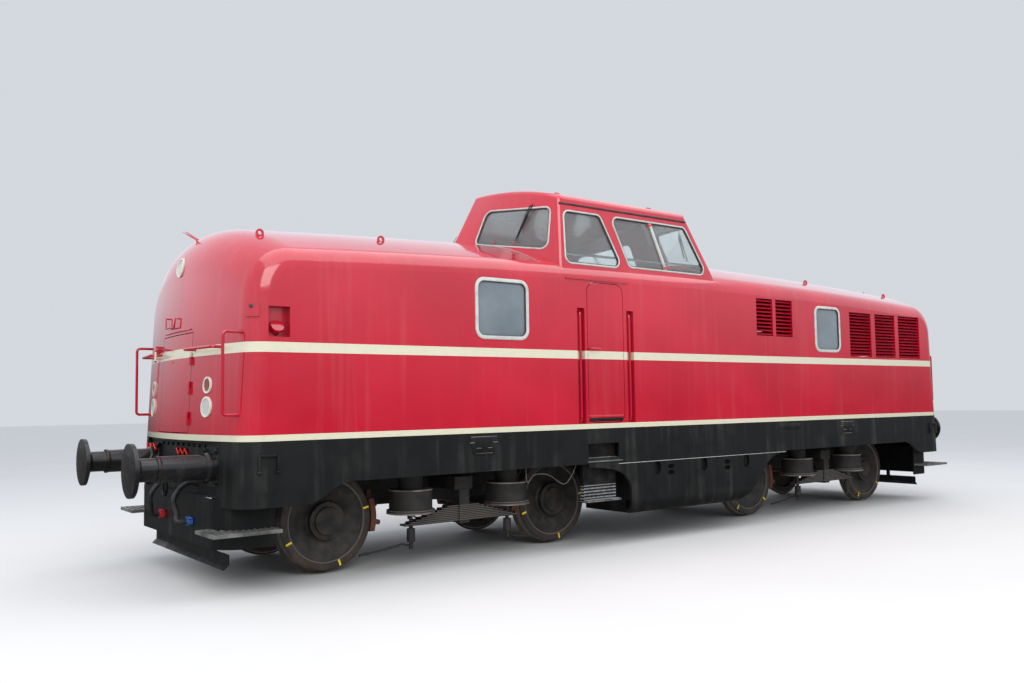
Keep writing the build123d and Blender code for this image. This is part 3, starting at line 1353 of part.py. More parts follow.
with BuildPart() as near_seat:
    with Locations((SEAT_X, SEAT_Y, PLATFORM_Z + SEAT_Z / 2)):
        Cylinder(SEAT_R, SEAT_Z)
    with Locations((SEAT_X, SEAT_Y, PLATFORM_Z + SEAT_Z - SEAT_R / 2)):
        Box(SEAT_PLATE, SEAT_PLATE, SEAT_R)
with BuildPart() as near_cushion:
    with Locations((SEAT_X, SEAT_Y, PLATFORM_Z + SEAT_Z + SEAT_GAP + SEAT_PAD_T / 2)):
        Box(SEAT_SIZE, SEAT_SIZE, SEAT_PAD_T)
    with Locations((
            SEAT_X + (SEAT_SIZE + SEAT_PAD_T) / 2, SEAT_Y,
            PLATFORM_Z + SEAT_Z + SEAT_GAP + SEAT_BACK_H / 2)):
        Box(SEAT_PAD_T, SEAT_SIZE, SEAT_BACK_H)
    fillet(near_cushion.edges().filter_by(Axis.Y), SEAT_PAD_T / 4)

with BuildPart() as seat_posts:
    add(twinned(near_seat.part))
keep(seat_posts, "seat_posts")
with BuildPart() as seat_cushions:
    add(twinned(near_cushion.part))
keep(seat_cushions, "seat_cushions")

with BuildPart() as engine_block:
    add(block((ENGINE_X[0], -ENGINE_HALF_W, DECK_Z), (ENGINE_X[1], ENGINE_HALF_W, ENGINE_TOP_Z)))
    fillet(engine_block.edges().filter_by(Axis.X).group_by(Axis.Z)[-1], ENGINE_HALF_W / 4)
keep(engine_block, "engine_block")
with BuildPart() as transmission:
    add(block(
        (-TRANSMISSION_X, -TRANSMISSION_HALF_W, TRANSMISSION_LOW_Z),
        (TRANSMISSION_X, TRANSMISSION_HALF_W, SILL_LOW_Z)))
    fillet(transmission.edges().filter_by(Axis.X).group_by(Axis.Z)[0], TRANSMISSION_HALF_W / 4)
keep(transmission, "transmission")

# Bogies, each first made about the middle of the locomotive
with BuildPart() as bogie_frame:
    for side in (-1, 1):
        with BuildSketch(Plane.XZ.offset(side * (FRAME_Y + FRAME_T / 2) - FRAME_T / 2)):
            with Locations((0, (FRAME_TOP_Z + FRAME_LOW_Z) / 2)):
                Rectangle(2 * FRAME_END_X, FRAME_TOP_Z - FRAME_LOW_Z)
            with Locations((-AXLE_X, AXLE_Z), (AXLE_X, AXLE_Z)):
                Circle(AXLEBOX_R)
            with Locations((-AXLE_X, (AXLE_Z + FRAME_TOP_Z) / 2), (AXLE_X, (AXLE_Z + FRAME_TOP_Z) / 2)):
                Rectangle(2 * AXLEBOX_R, FRAME_TOP_Z - AXLE_Z)
            with Locations((-AXLE_X, AXLE_Z), (AXLE_X, AXLE_Z)):
                Circle(AXLE_R + JOURNAL_GAP, mode=Mode.SUBTRACT)
        extrude(amount=FRAME_T)
    for side in (-1, 1):
        with Locations((side * TRANSOM_X, 0, (FRAME_TOP_Z + FRAME_LOW_Z) / 2)):
            Box(TRANSOM_W, 2 * FRAME_Y, FRAME_TOP_Z - FRAME_LOW_Z)
        with Locations((side * END_BEAM_X, 0, (FRAME_TOP_Z + FRAME_LOW_Z) / 2)):
            Box(END_BEAM_W, 2 * (FRAME_Y + FRAME_T), FRAME_TOP_Z - FRAME_LOW_Z)
        with Locations(Location((side * AXLE_X, 0, AXLE_Z), (90, 0, 0))):
            Cylinder(DRIVE_R, 2 * DRIVE_HALF_W)
        with Locations((side * (AXLE_X + TRANSOM_X) / 2, 0, sum(TORQUE_Z) / 2)):
            Box(AXLE_X - TRANSOM_X, 2 * TORQUE_HALF_W, TORQUE_Z[1] - TORQUE_Z[0])
        with Locations(Location((side * AXLE_X, 0, AXLE_Z), (90, 0, 0))):
            Cylinder(AXLE_R + JOURNAL_GAP, 2 * DRIVE_HALF_W, mode=Mode.SUBTRACT)
    with Locations((0, 0, (FRAME_TOP_Z + ARM_LOW_Z) / 2)):
        Box(2 * ARM_HALF_L, 2 * ARM_HALF_W, FRAME_TOP_Z - ARM_LOW_Z)
        Box(2 * TRANSOM_X, 2 * ARM_HALF_L, FRAME_TOP_Z - ARM_LOW_Z)
        Cylinder(PIVOT_PLATE_R, FRAME_TOP_Z - ARM_LOW_Z)
        Cylinder(PIVOT_R + JOURNAL_GAP, FRAME_TOP_Z - ARM_LOW_Z, mode=Mode.SUBTRACT)

with BuildPart() as spring:
    for i in range(LEAF_COUNT):
        with Locations((0, SPRING_Y, LEAF_Z + (i + 0.5) * LEAF_T)):
            Box(2 * (LEAF_HALF - i * LEAF_STEP), LEAF_W, LEAF_T)
    with Locations((0, SPRING_Y, (BUCKLE_LOW_Z + ARM_LOW_Z) / 2)):
        Box(2 * BUCKLE_HALF_L, LEAF_W + 2 * LEAF_T, ARM_LOW_Z - BUCKLE_LOW_Z)
    for side in (-1, 1):
        with BuildSketch(Plane.XZ.offset(-SPRING_Y)):
            with BuildLine():
                Polyline(
                    (side * DRUM_X, HANGER_LOW_Z),
                    (side * DRUM_X + HANGER_R, HANGER_LOW_Z),
                    (side * DRUM_X + HANGER_R, NUT_Z[0]),
                    (side * DRUM_X + NUT_R, NUT_Z[0]),
                    (side * DRUM_X + NUT_R, NUT_Z[1]),
                    (side * DRUM_X + HANGER_R, NUT_Z[1]),
                    (side * DRUM_X + HANGER_R, DRUM_LOW_Z),
                    (side * DRUM_X + DRUM_FLANGE_R, DRUM_LOW_Z),
                    (side * DRUM_X + DRUM_FLANGE_R, DRUM_LOW_Z + DRUM_FLANGE_T),
                    (side * DRUM_X + DRUM_R, DRUM_LOW_Z + DRUM_FLANGE_T),
                    (side * DRUM_X + DRUM_R, DRUM_LOW_Z + DRUM_H),
                    (side * DRUM_X + CUP_R, DRUM_LOW_Z + DRUM_H),
                    (side * DRUM_X + CUP_R, SPRING_BEAM_LOW_Z - CUP_GAP),
                    (side * DRUM_X, SPRING_BEAM_LOW_Z - CUP_GAP),
                    close=True)
            make_face()
        revolve(axis=Axis((side * DRUM_X, SPRING_Y, 0), (0, 0, 1)))

with BuildPart() as brakes:
    for side in (-1, 1):
        beam_x = side * (AXLE_X - BRAKE_BEAM_OUT)
        for out in (-1, 1):
            block_y = out * (BLOCK_Y[0] + BLOCK_Y[1]) / 2
            with BuildSketch(Plane.XZ.offset(-block_y - (BLOCK_Y[1] - BLOCK_Y[0]) / 2)):
                with Locations((side * AXLE_X, AXLE_Z)):
                    Circle(WHEEL_R + BRAKE_GAP + BLOCK_T)
                    Circle(WHEEL_R + BRAKE_GAP, mode=Mode.SUBTRACT)
                with Locations((beam_x, sum(BLOCK_Z) / 2)):
                    Rectangle(WHEEL_R, BLOCK_Z[1] - BLOCK_Z[0], mode=Mode.INTERSECT)
            extrude(amount=BLOCK_Y[1] - BLOCK_Y[0])
            hanger_y = out * (FRAME_Y + FRAME_T + BRAKE_HANGER_T / 2)
            with Locations((beam_x, hanger_y, (BRAKE_BEAM_Z + BRAKE_HANGER_TOP_Z) / 2)):
                Box(BRAKE_HANGER_W, BRAKE_HANGER_T, BRAKE_HANGER_TOP_Z - BRAKE_BEAM_Z)
        with Locations(Location((beam_x, 0, BRAKE_BEAM_Z), (90, 0, 0))):
            Cylinder(BRAKE_BEAM_R, 2 * BLOCK_Y[1])

for name, end in (("near", -1), ("far", 1)):
    place = Location((end * PIVOT_X, 0, 0))
    with BuildPart() as placed_frame:
        add(bogie_frame.part.moved(place))
    keep(placed_frame, f"bogie_frame_{name}")
    with BuildPart() as placed_springs:
        add([piece.moved(place) for piece in mirrored(spring.part)])
    keep(placed_springs, f"springs_{name}")
    with BuildPart() as placed_brakes:
        add(brakes.part.moved(place))
    keep(placed_brakes, f"brake_gear_{name}")

# Wheelsets: an axle with its two wheels, turned in one
with BuildPart() as wheel_form:
    with BuildSketch(Plane.XY):
        with BuildLine():
            right = [(r, y) for y, r in WHEEL_PROFILE]
            left = [(r, -y) for r, y in reversed(right)]
            Polyline(*right, *left, close=True)
        make_face()
    revolve(axis=Axis.Y)

axle_places = [end * PIVOT_X + side * AXLE_X for end in (-1, 1) for side in (-1, 1)]
for number, axle_x in enumerate(axle_places, start=1):
    with BuildPart() as wheelset:
        add(wheel_form.part.moved(Location((axle_x, 0, AXLE_Z))))
    keep(wheelset, f"wheelset_{number}")
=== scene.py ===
"""Looks of the diesel locomotive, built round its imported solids."""

import math

import bmesh
import bpy
from mathutils import Matrix, Vector


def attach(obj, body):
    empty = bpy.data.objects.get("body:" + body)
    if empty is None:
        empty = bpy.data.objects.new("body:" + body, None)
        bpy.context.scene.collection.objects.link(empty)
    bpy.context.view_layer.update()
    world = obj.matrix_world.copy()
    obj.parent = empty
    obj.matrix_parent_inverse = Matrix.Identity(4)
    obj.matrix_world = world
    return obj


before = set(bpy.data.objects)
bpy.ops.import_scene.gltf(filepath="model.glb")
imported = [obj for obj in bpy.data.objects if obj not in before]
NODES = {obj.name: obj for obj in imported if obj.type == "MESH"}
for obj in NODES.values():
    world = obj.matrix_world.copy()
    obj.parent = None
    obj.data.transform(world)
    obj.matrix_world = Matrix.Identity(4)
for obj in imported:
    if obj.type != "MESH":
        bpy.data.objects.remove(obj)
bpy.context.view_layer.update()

# Levels and places on the locomotive, in metres
RAIL = 0.028
DECK_Z = RAIL + 1.283
BODY_HALF_W = 1.490
CAB_MID_X = -0.770
LOW_STRIPE_Z = (DECK_Z, DECK_Z + 0.054)
MIDDLE_STRIPE_Z = (RAIL + 2.047, RAIL + 2.136)
BOGIE_X = 3.150
AXLE_X = 1.400
WHEEL_R = 0.475
AXLE_Z = RAIL + WHEEL_R
TYRE_R = 0.390
LEAF_Z = RAIL + 0.380
LEAF_T = 0.018
LEAF_COUNT = 9
# Ribbed bars between the cab steps, and the bare glands over the hose cocks
RUNG_PITCH = 0.034
RUNG_Z = (RAIL + 0.49, RAIL + 0.66)
GLAND_Z = (RAIL + 0.75, RAIL + 1.2)
# Where lines that look for the skin start, outside the locomotive
OUTSIDE = 8.0
RIGHT, LEFT = -1, 1
SIDES = ((RIGHT, "right"), (LEFT, "left"))
ENDS = (("near", -1), ("far", 1))
BOGIES = (("near", -BOGIE_X), ("far", BOGIE_X))

# Colours, linear
RED = (0.50, 0.008, 0.029)
DEEP_RED = (0.40, 0.005, 0.020)
STREAK_PINK = (0.60, 0.30, 0.26)
CREAM = (0.62, 0.59, 0.45)
WORN_CREAM = (0.48, 0.45, 0.35)
BLACK = (0.007, 0.0075, 0.0075)
PALE_DUST = (0.055, 0.052, 0.047)
GRIME = (0.032, 0.027, 0.022)
IRON = (0.016, 0.015, 0.014)
PALE_STEEL = (0.50, 0.52, 0.53)
WHITE = (1.0, 1.0, 1.0)
# Noise drawn out down a wall, as rain leaves it
RAIN_STRETCH = (1.0, 1.0, 0.06)


class Recipe:
    """The nodes of one material or world, joined up step by step."""

    def __init__(self, name, kind="materials", shader="Principled BSDF"):
        self.made = getattr(bpy.data, kind).new(name)
        self.made.use_nodes = True
        self.tree = self.made.node_tree
        self.shader = self.tree.nodes[shader]
        self.places = self.add("ShaderNodeTexCoord").outputs

    def add(self, kind, **settings):
        node = self.tree.nodes.new(kind)
        for name, value in settings.items():
            setattr(node, name, value)
        return node

    def feed(self, socket, value):
        """Links an output to a socket, or sets the socket to a value."""
        if isinstance(value, bpy.types.NodeSocket):
            self.tree.links.new(value, socket)
        elif isinstance(value, tuple) and len(value) == 3 and socket.type == "RGBA":
            socket.default_value = (*value, 1.0)
        else:
            socket.default_value = value

    def math(self, operation, *values):
        node = self.add("ShaderNodeMath", operation=operation)
        for socket, value in zip(node.inputs, values):
            self.feed(socket, value)
        return node.outputs[0]

    def noise(self, scale, stretch=(1.0, 1.0, 1.0), detail=4.0):
        """Noise in the object's own space, from about 0.3 to 0.7."""
        mapping = self.add("ShaderNodeMapping")
        mapping.inputs["Scale"].default_value = stretch
        self.feed(mapping.inputs["Vector"], self.places["Object"])
        node = self.add("ShaderNodeTexNoise")
        self.feed(node.inputs["Vector"], mapping.outputs[0])
        for name, value in (("Scale", scale), ("Detail", detail), ("Roughness", 0.55)):
            node.inputs[name].default_value = value
        return node.outputs[0]

    def span(self, value, low, high, to_low=0.0, to_high=1.0):
        """A value's stretch from low to high, spread over another stretch and clamped to it."""
        node = self.add("ShaderNodeMapRange")
        for name, number in (("From Min", low), ("From Max", high), ("To Min", to_low), ("To Max", to_high)):
            node.inputs[name].default_value = number
        self.feed(node.inputs["Value"], value)
        return node.outputs[0]

    def drift(self, scale, low, high):
        """A value that wanders between low and high over the surface."""
        return self.span(self.noise(scale), 0.3, 0.7, low, high)

    def mix(self, share, first, second):
        node = self.add("ShaderNodeMix", data_type="RGBA")
        self.feed(node.inputs[0], share)
        self.feed(node.inputs[6], first)
        self.feed(node.inputs[7], second)
        return node.outputs[2]

    def axis(self, name, source="Object"):
        """One axis of the place, or of another source such as the normal."""
        split = self.add("ShaderNodeSeparateXYZ")
        self.feed(split.inputs[0], self.places[source])
        return split.outputs[name]

    def texture(self, kind, scale, **settings):
        node = self.add(kind, **settings)
        self.feed(node.inputs["Vector"], self.places["Object"])
        node.inputs["Scale"].default_value = scale
        return node.outputs

    def band(self, value, low, high):
        """1 where a value lies between two numbers, else 0."""
        return self.math("COMPARE", value, (low + high) / 2, (high - low) / 2)

    def bump(self, height, strength, distance=0.002):
        node = self.add("ShaderNodeBump")
        node.inputs["Strength"].default_value = strength
        node.inputs["Distance"].default_value = distance
        self.feed(node.inputs["Height"], height)
        self.feed(self.shader.inputs["Normal"], node.outputs[0])

    def finish(self, colour, roughness, **values):
        """Feeds the shader; coat_weight, for instance, goes to its input Coat Weight."""
        self.feed(self.shader.inputs["Base Color"], colour)
        self.feed(self.shader.inputs["Roughness"], roughness)
        for name, value in values.items():
            socket = name.replace("_", " ").title().replace("Ior", "IOR")
            self.feed(self.shader.inputs[socket], value)
        return self.made


def gloss_paint(name, stripes):
    """Glossy red coach paint with slow fading, faint rain streaks and, on the body, the cream stripes."""
    recipe = Recipe(name)
    fade = recipe.span(recipe.noise(0.7, detail=3.0), 0.35, 0.65)
    shade = recipe.mix(fade, DEEP_RED, RED)
    streak = recipe.span(recipe.noise(9.0, stretch=RAIN_STRETCH), 0.55, 0.75, 0.0, 0.06)
    shade = recipe.mix(streak, shade, STREAK_PINK)
    if stripes:
        height = recipe.axis("Z")
        low = recipe.band(height, *LOW_STRIPE_Z)
        middle = recipe.band(height, *MIDDLE_STRIPE_Z)
        either = recipe.math("MAXIMUM", low, middle)
        worn = recipe.mix(recipe.span(recipe.noise(14.0), 0.5, 0.8, 0.0, 0.35), CREAM, WORN_CREAM)
        shade = recipe.mix(either, shade, worn)
    recipe.bump(recipe.noise(42.0, detail=2.0), 0.05, 0.003)
    return recipe.finish(shade, recipe.drift(3.0, 0.10, 0.20), coat_weight=0.75, coat_roughness=0.04)


def frame_paint():
    """Black frame paint, satin, with pale dust that has run down it in streaks."""
    recipe = Recipe("frame_black")
    streak = recipe.span(recipe.noise(9.0, stretch=RAIN_STRETCH), 0.50, 0.72)
    blotch = recipe.span(recipe.noise(2.5), 0.42, 0.72, 0.1, 0.8)
    shade = recipe.mix(recipe.math("MULTIPLY", streak, blotch), BLACK, PALE_DUST)
    recipe.bump(recipe.noise(30.0), 0.10, 0.003)
    gloss = recipe.span(recipe.noise(5.0), 0.35, 0.7, 0.34, 0.58)
    return recipe.finish(shade, gloss, specular_ior_level=0.28)


def leaf_steel():
    """Spring leaves one on another: a pale worn edge on each, and under it a near-black line of painted shade
    for the shadow in the gap to the next leaf.
    """
    recipe = Recipe("leaf_steel")
    height = recipe.math("SUBTRACT", recipe.axis("Z"), LEAF_Z)
    turn = recipe.math("FRACT", recipe.math("DIVIDE", height, LEAF_T))
    in_pack = recipe.band(height, 0.0, LEAF_T * LEAF_COUNT)
    worn = recipe.math("MULTIPLY", recipe.band(turn, 0.62, 0.95), in_pack)
    # Painted shade in the gap at the foot of each leaf
    gap_shade = recipe.math("MULTIPLY", recipe.band(turn, 0.0, 0.22), in_pack)
    cover = recipe.span(recipe.noise(9.0, detail=8.0), 0.4, 0.68)
    shade = recipe.mix(cover, (0.018, 0.017, 0.016), GRIME)
    shade = recipe.mix(recipe.math("MULTIPLY", worn, 0.75), shade, (0.16, 0.14, 0.12))
    shade = recipe.mix(gap_shade, shade, (0.004, 0.004, 0.004))
    recipe.bump(turn, 0.3, 0.003)
    return recipe.finish(shade, recipe.drift(12.0, 0.5, 0.75))


def step_steel():
    """Cab steps: dark risers, with pale lines on the bars, half as pale as the treads, and the up-facing
    treads wholly pale, both in patches.
    """
    recipe = Recipe("step_steel")
    height = recipe.axis("Z")
    rung = recipe.math("FRACT", recipe.math("DIVIDE", height, RUNG_PITCH))
    bars = recipe.math("MULTIPLY", recipe.band(rung, 0.0, 0.42), recipe.band(height, *RUNG_Z))
    # Surfaces that face upward are made pale
    treads = recipe.span(recipe.axis("Z", "Normal"), 0.6, 0.8)
    pale_share = recipe.math("MAXIMUM", recipe.math("MULTIPLY", bars, 0.55), treads)
    patches = recipe.span(recipe.noise(18.0, detail=6.0), 0.35, 0.6, 0.35, 1.0)
    dark = recipe.mix(recipe.span(recipe.noise(6.0), 0.4, 0.7), (0.008, 0.008, 0.008), (0.024, 0.022, 0.019))
    shade = recipe.mix(recipe.math("MULTIPLY", pale_share, patches), dark, PALE_STEEL)
    recipe.bump(recipe.noise(60.0), 0.2)
    return recipe.finish(shade, recipe.drift(20.0, 0.45, 0.7), specular_ior_level=0.12)


def vent_shade():
    """Painted shade: dull black that hardly shines, on flat plates that stand for the shaded insides of small
    openings.
    """
    recipe = Recipe("vent_shade")
    shade = recipe.mix(recipe.drift(12.0, 0.0, 1.0), (0.001, 0.001, 0.001), (0.004, 0.004, 0.004))
    return recipe.finish(shade, recipe.drift(20.0, 0.7, 0.9), specular_ior_level=0.05)


def hood_pane():
    """Small hood windows, opaque: their grey-blue is a painted reflection of the sky over a painted dark
    inside.
    """
    recipe = Recipe("hood_pane")
    shade = recipe.mix(recipe.span(recipe.noise(1.2), 0.35, 0.65), (0.12, 0.15, 0.17), (0.20, 0.23, 0.25))
    gloss = recipe.span(recipe.noise(6.0, detail=6.0), 0.45, 0.8, 0.05, 0.22)
    return recipe.finish(shade, gloss, coat_weight=0.6, coat_roughness=0.04)


def cock_paint():
    """Hose cocks: red on one of an end's two hoses and blue on the other, with bare glands above."""
    recipe = Recipe("cock_paint")
    corner = recipe.math("MULTIPLY", recipe.axis("X"), recipe.axis("Y"))
    blue = recipe.math("GREATER_THAN", corner, 0.0)
    shade = recipe.mix(blue, (0.55, 0.02, 0.02), (0.03, 0.12, 0.42))
    shade = recipe.mix(recipe.band(recipe.axis("Z"), *GLAND_Z), shade, GRIME)
    shade = recipe.mix(recipe.span(recipe.noise(14.0, detail=6.0), 0.5, 0.75, 0.0, 0.7), shade, GRIME)
    recipe.bump(recipe.noise(60.0), 0.12)
    return recipe.finish(shade, recipe.drift(9.0, 0.3, 0.5))


def grimy_iron(name, colour, dust, rough=(0.5, 0.8)):
    """Painted or bare iron under oily dust, with a cast skin."""
    recipe = Recipe(name)
    cover = recipe.span(recipe.noise(6.0, detail=8.0), 0.42, 0.68)
    shade = recipe.mix(cover, colour, dust)
    recipe.bump(recipe.noise(70.0, detail=6.0), 0.35, 0.004)
    return recipe.finish(shade, recipe.span(recipe.noise(11.0), 0.35, 0.65, *rough))


def wheel_iron():
    """Wheel discs in grimy black, a brown tyre and a tread that running has polished."""
    recipe = Recipe("wheel_steel")
    folded = recipe.math("ABSOLUTE", recipe.axis("X"))
    from_pivot = recipe.math("ABSOLUTE", recipe.math("SUBTRACT", folded, BOGIE_X))
    across = recipe.math("SUBTRACT", from_pivot, AXLE_X)
    up = recipe.math("SUBTRACT", recipe.axis("Z"), AXLE_Z)
    squares = recipe.math("ADD", recipe.math("MULTIPLY", across, across), recipe.math("MULTIPLY", up, up))
    radius = recipe.math("SQRT", squares)
    cover = recipe.span(recipe.noise(9.0, detail=8.0), 0.4, 0.7)
    disc = recipe.mix(cover, IRON, (0.050, 0.038, 0.028))
    tyre = recipe.mix(cover, (0.030, 0.024, 0.020), (0.075, 0.048, 0.032))
    shade = recipe.mix(recipe.band(radius, TYRE_R + 0.004, 1.0), disc, tyre)
    seam = recipe.band(radius, TYRE_R - 0.006, TYRE_R + 0.008)
    shade = recipe.mix(seam, shade, (0.12, 0.11, 0.10))
    tread = recipe.band(radius, WHEEL_R - 0.004, WHEEL_R + 0.003)
    shade = recipe.mix(tread, shade, (0.30, 0.28, 0.26))
    recipe.bump(recipe.noise(60.0, detail=6.0), 0.3, 0.003)
    polish = recipe.math("MULTIPLY", tread, 0.2)
    gloss = recipe.math("SUBTRACT", recipe.drift(12.0, 0.45, 0.7), polish)
    return recipe.finish(shade, gloss, metallic=recipe.math("MULTIPLY", tread, 0.8))


def galvanised():
    """Galvanised steel with its dull crystals."""
    recipe = Recipe("galvanised")
    crystals = recipe.texture("ShaderNodeTexVoronoi", 45.0)["Distance"]
    grey = recipe.mix(crystals, (0.30, 0.31, 0.31), (0.50, 0.51, 0.51))
    shade = recipe.mix(recipe.span(recipe.noise(8.0), 0.5, 0.8, 0.0, 0.6), grey, (0.14, 0.12, 0.10))
    recipe.bump(recipe.noise(60.0), 0.2)
    return recipe.finish(shade, recipe.drift(20.0, 0.35, 0.6), metallic=0.55)


def clear_glass():
    """Window glass, faintly green and a little dusty."""
    recipe = Recipe("glazing")
    dust = recipe.span(recipe.noise(5.0, detail=6.0), 0.5, 0.8, 0.0, 0.10)
    shade = recipe.mix(recipe.drift(1.5, 0.0, 1.0), (0.80, 0.87, 0.86), (0.88, 0.92, 0.92))
    roughness = recipe.math("ADD", dust, 0.02)
    return recipe.finish(shade, roughness, transmission_weight=0.92, ior=1.45)


def lens_glass(name, colour, deep, see_through):
    """Moulded lamp glass with fine ribs behind its smooth face."""
    recipe = Recipe(name)
    ribs = recipe.texture("ShaderNodeTexWave", 28.0, bands_direction="Y")["Fac"]
    shade = recipe.mix(ribs, deep, colour)
    recipe.bump(ribs, 0.35, 0.004)
    gloss = recipe.drift(15.0, 0.05, 0.15)
    return recipe.finish(shade, gloss, transmission_weight=see_through, coat_weight=0.8)


def soft_rubber(name, colour, dust):
    """Rubber, matt, greyed here and there by dust."""
    recipe = Recipe(name)
    shade = recipe.mix(recipe.span(recipe.noise(12.0, detail=6.0), 0.45, 0.75), colour, dust)
    recipe.bump(recipe.noise(90.0), 0.2)
    return recipe.finish(shade, recipe.drift(20.0, 0.45, 0.7))


def plain_paint(name, colour, worn, rough=(0.3, 0.5)):
    """Workaday paint with small worn patches."""
    recipe = Recipe(name)
    shade = recipe.mix(recipe.span(recipe.noise(10.0, detail=6.0), 0.5, 0.72, 0.0, 0.8), colour, worn)
    recipe.bump(recipe.noise(45.0), 0.12)
    return recipe.finish(shade, recipe.drift(9.0, *rough))


def seat_cloth():
    """Dark woven seat cloth."""
    recipe = Recipe("seat_cloth")
    weave = recipe.texture("ShaderNodeTexWave", 180.0)["Fac"]
    shade = recipe.mix(weave, (0.012, 0.012, 0.016), (0.032, 0.032, 0.04))
    recipe.bump(weave, 0.4)
    return recipe.finish(shade, recipe.drift(12.0, 0.75, 0.95), sheen_weight=0.3)


def own_name(material):
    """A material's name, without the number that Blender adds to a name in use."""
    return material.name.split(".")[0]


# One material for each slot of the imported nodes, under the slot's name
MATERIALS = {own_name(material): material for material in (
    gloss_paint("body_red", stripes=True),
    gloss_paint("rail_paint", stripes=False),
    frame_paint(),
    grimy_iron("running_gear", IRON, GRIME),
    wheel_iron(),
    grimy_iron("brake_iron", (0.10, 0.030, 0.018), (0.16, 0.055, 0.032)),
    galvanised(),
    clear_glass(),
    plain_paint("lamp_rim", (0.66, 0.64, 0.55), (0.45, 0.42, 0.34), (0.2, 0.4)),
    lens_glass("tail_lens", (0.30, 0.006, 0.006), (0.12, 0.003, 0.003), 0.2),
    lens_glass("head_lens", (0.80, 0.82, 0.78), (0.55, 0.58, 0.54), 0.3),
    soft_rubber("rubber_black", (0.012, 0.012, 0.012), (0.04, 0.038, 0.035)),
    plain_paint("inside_grey", (0.62, 0.64, 0.61), (0.48, 0.49, 0.46)),
    seat_cloth(),
    plain_paint("engine_paint", (0.10, 0.13, 0.12), (0.05, 0.05, 0.045)),
    cock_paint(),
)}
FRAME_BLACK = MATERIALS["frame_black"]
RAIL_PAINT = MATERIALS["rail_paint"]
LEAF_STEEL = leaf_steel()
BUFFER_BLACK = plain_paint("buffer_black", (0.010, 0.010, 0.011), (0.028, 0.025, 0.022), (0.16, 0.34))
STEP_IRON = grimy_iron("step_iron", (0.15, 0.15, 0.145), (0.06, 0.055, 0.05), (0.35, 0.6))
GASKET = soft_rubber("gasket_grey", (0.52, 0.53, 0.50), (0.36, 0.37, 0.35))
SEAL = soft_rubber("seal_dark", (0.03, 0.032, 0.034), (0.07, 0.07, 0.07))
YELLOW = plain_paint("mark_yellow", (0.85, 0.60, 0.02), (0.45, 0.33, 0.03))
SIGNAL_RED = plain_paint("signal_red", (0.78, 0.02, 0.01), (0.45, 0.02, 0.01), (0.2, 0.4))
WORN_EDGE = grimy_iron("worn_edge", (0.24, 0.20, 0.18), (0.07, 0.06, 0.055), (0.4, 0.6))
WORN_JOINT = plain_paint("worn_joint", (0.40, 0.40, 0.39), (0.12, 0.12, 0.12))
# Painted shade for the insides of the tank's vents
VENT_SHADE = vent_shade()
PIPE_GREY = grimy_iron("pipe_grey", (0.080, 0.078, 0.074), (0.030, 0.028, 0.026))
# Nodes whose finish differs from the rest of their slot
OWN_MATERIALS = {
    "springs_near": LEAF_STEEL,
    "springs_far": LEAF_STEEL,
    "cab_steps": step_steel(),
    "hood_glass": hood_pane(),
    "filler_caps": RAIL_PAINT,
    "buffers": BUFFER_BLACK,
    "end_steps": STEP_IRON,
}


def dress_nodes():
    """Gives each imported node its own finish, or the finish of its slot."""
    for name, piece in NODES.items():
        for slot in piece.material_slots:
            slot.material = OWN_MATERIALS.get(name) or MATERIALS[own_name(slot.material)]


# Corners closer than WELD are one, and edges flatter than SMOOTH_ANGLE are shaded smooth
WELD = 1e-6
SMOOTH_ANGLE = math.radians(40)
BEVEL_SEGMENTS = 2
ROD_RESOLUTION = 3


def add_object(name, data):
    thing = bpy.data.objects.new(name, data)
    bpy.context.scene.collection.objects.link(thing)
    return thing


def carry(piece, material, body="locomotive"):
    """Finishes a piece: its material and the body that it moves with."""
    piece.data.materials.clear()
    piece.data.materials.append(material)
    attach(piece, body)
    return piece


def mesh_piece(name, verts, faces, material, body="locomotive", bevel=0.0):
    """A piece from corners and faces, its edges rounded by bevel."""
    mesh = bpy.data.meshes.new(name)
    mesh.from_pydata(verts, [], faces)
    shape = bmesh.new()
    shape.from_mesh(mesh)
    bmesh.ops.remove_doubles(shape, verts=shape.verts, dist=WELD)
    if bevel:
        bmesh.ops.bevel(shape, geom=shape.edges[:], offset=bevel, segments=BEVEL_SEGMENTS,
                        affect="EDGES", profile=0.5)
    bmesh.ops.recalc_face_normals(shape, faces=shape.faces)
    shape.to_mesh(mesh)
    shape.free()
    for polygon in mesh.polygons:
        polygon.use_smooth = True
    mesh.set_sharp_from_angle(angle=SMOOTH_ANGLE)
    return carry(add_object(name, mesh), material, body)


def bar_mesh(low, high, turn=None):
    """Corners and faces of a box from its low corner to its high one, turned by a matrix."""
    xs, ys, zs = zip(low, high)
    corners = [Vector((x, y, z)) for x in xs for y in ys for z in zs]
    if turn:
        corners = [turn @ corner for corner in corners]
    faces = [(0, 1, 3, 2), (4, 6, 7, 5), (0, 4, 5, 1), (2, 3, 7, 6), (0, 2, 6, 4), (1, 5, 7, 3)]
    return corners, faces


def joined(parts):
    """Several lists of corners and faces as one."""
    verts, faces = [], []
    for part_verts, part_faces in parts:
        start = len(verts)
        verts += part_verts
        faces += [tuple(start + index for index in face) for face in part_faces]
    return verts, faces


def lathe(profile, origin, axis, steps=20):
    """Corners and faces of a profile of (distance along the axis, radius), turned round the axis."""
    spin = Vector(axis).normalized().to_track_quat("Z", "Y").to_matrix()
    verts, faces = [], []
    for along, radius in profile:
        for step in range(steps):
            angle = 2 * math.pi * step / steps
            point = Vector((radius * math.cos(angle), radius * math.sin(angle), along))
            verts.append(Vector(origin) + spin @ point)
    for ring in range(len(profile) - 1):
        here, above = ring * steps, (ring + 1) * steps
        for step in range(steps):
            after = (step + 1) % steps
            faces.append((here + step, here + after, above + after, above + step))
    last = (len(profile) - 1) * steps
    faces.append(tuple(reversed(range(steps))))
    faces.append(tuple(range(last, last + steps)))
    return verts, faces


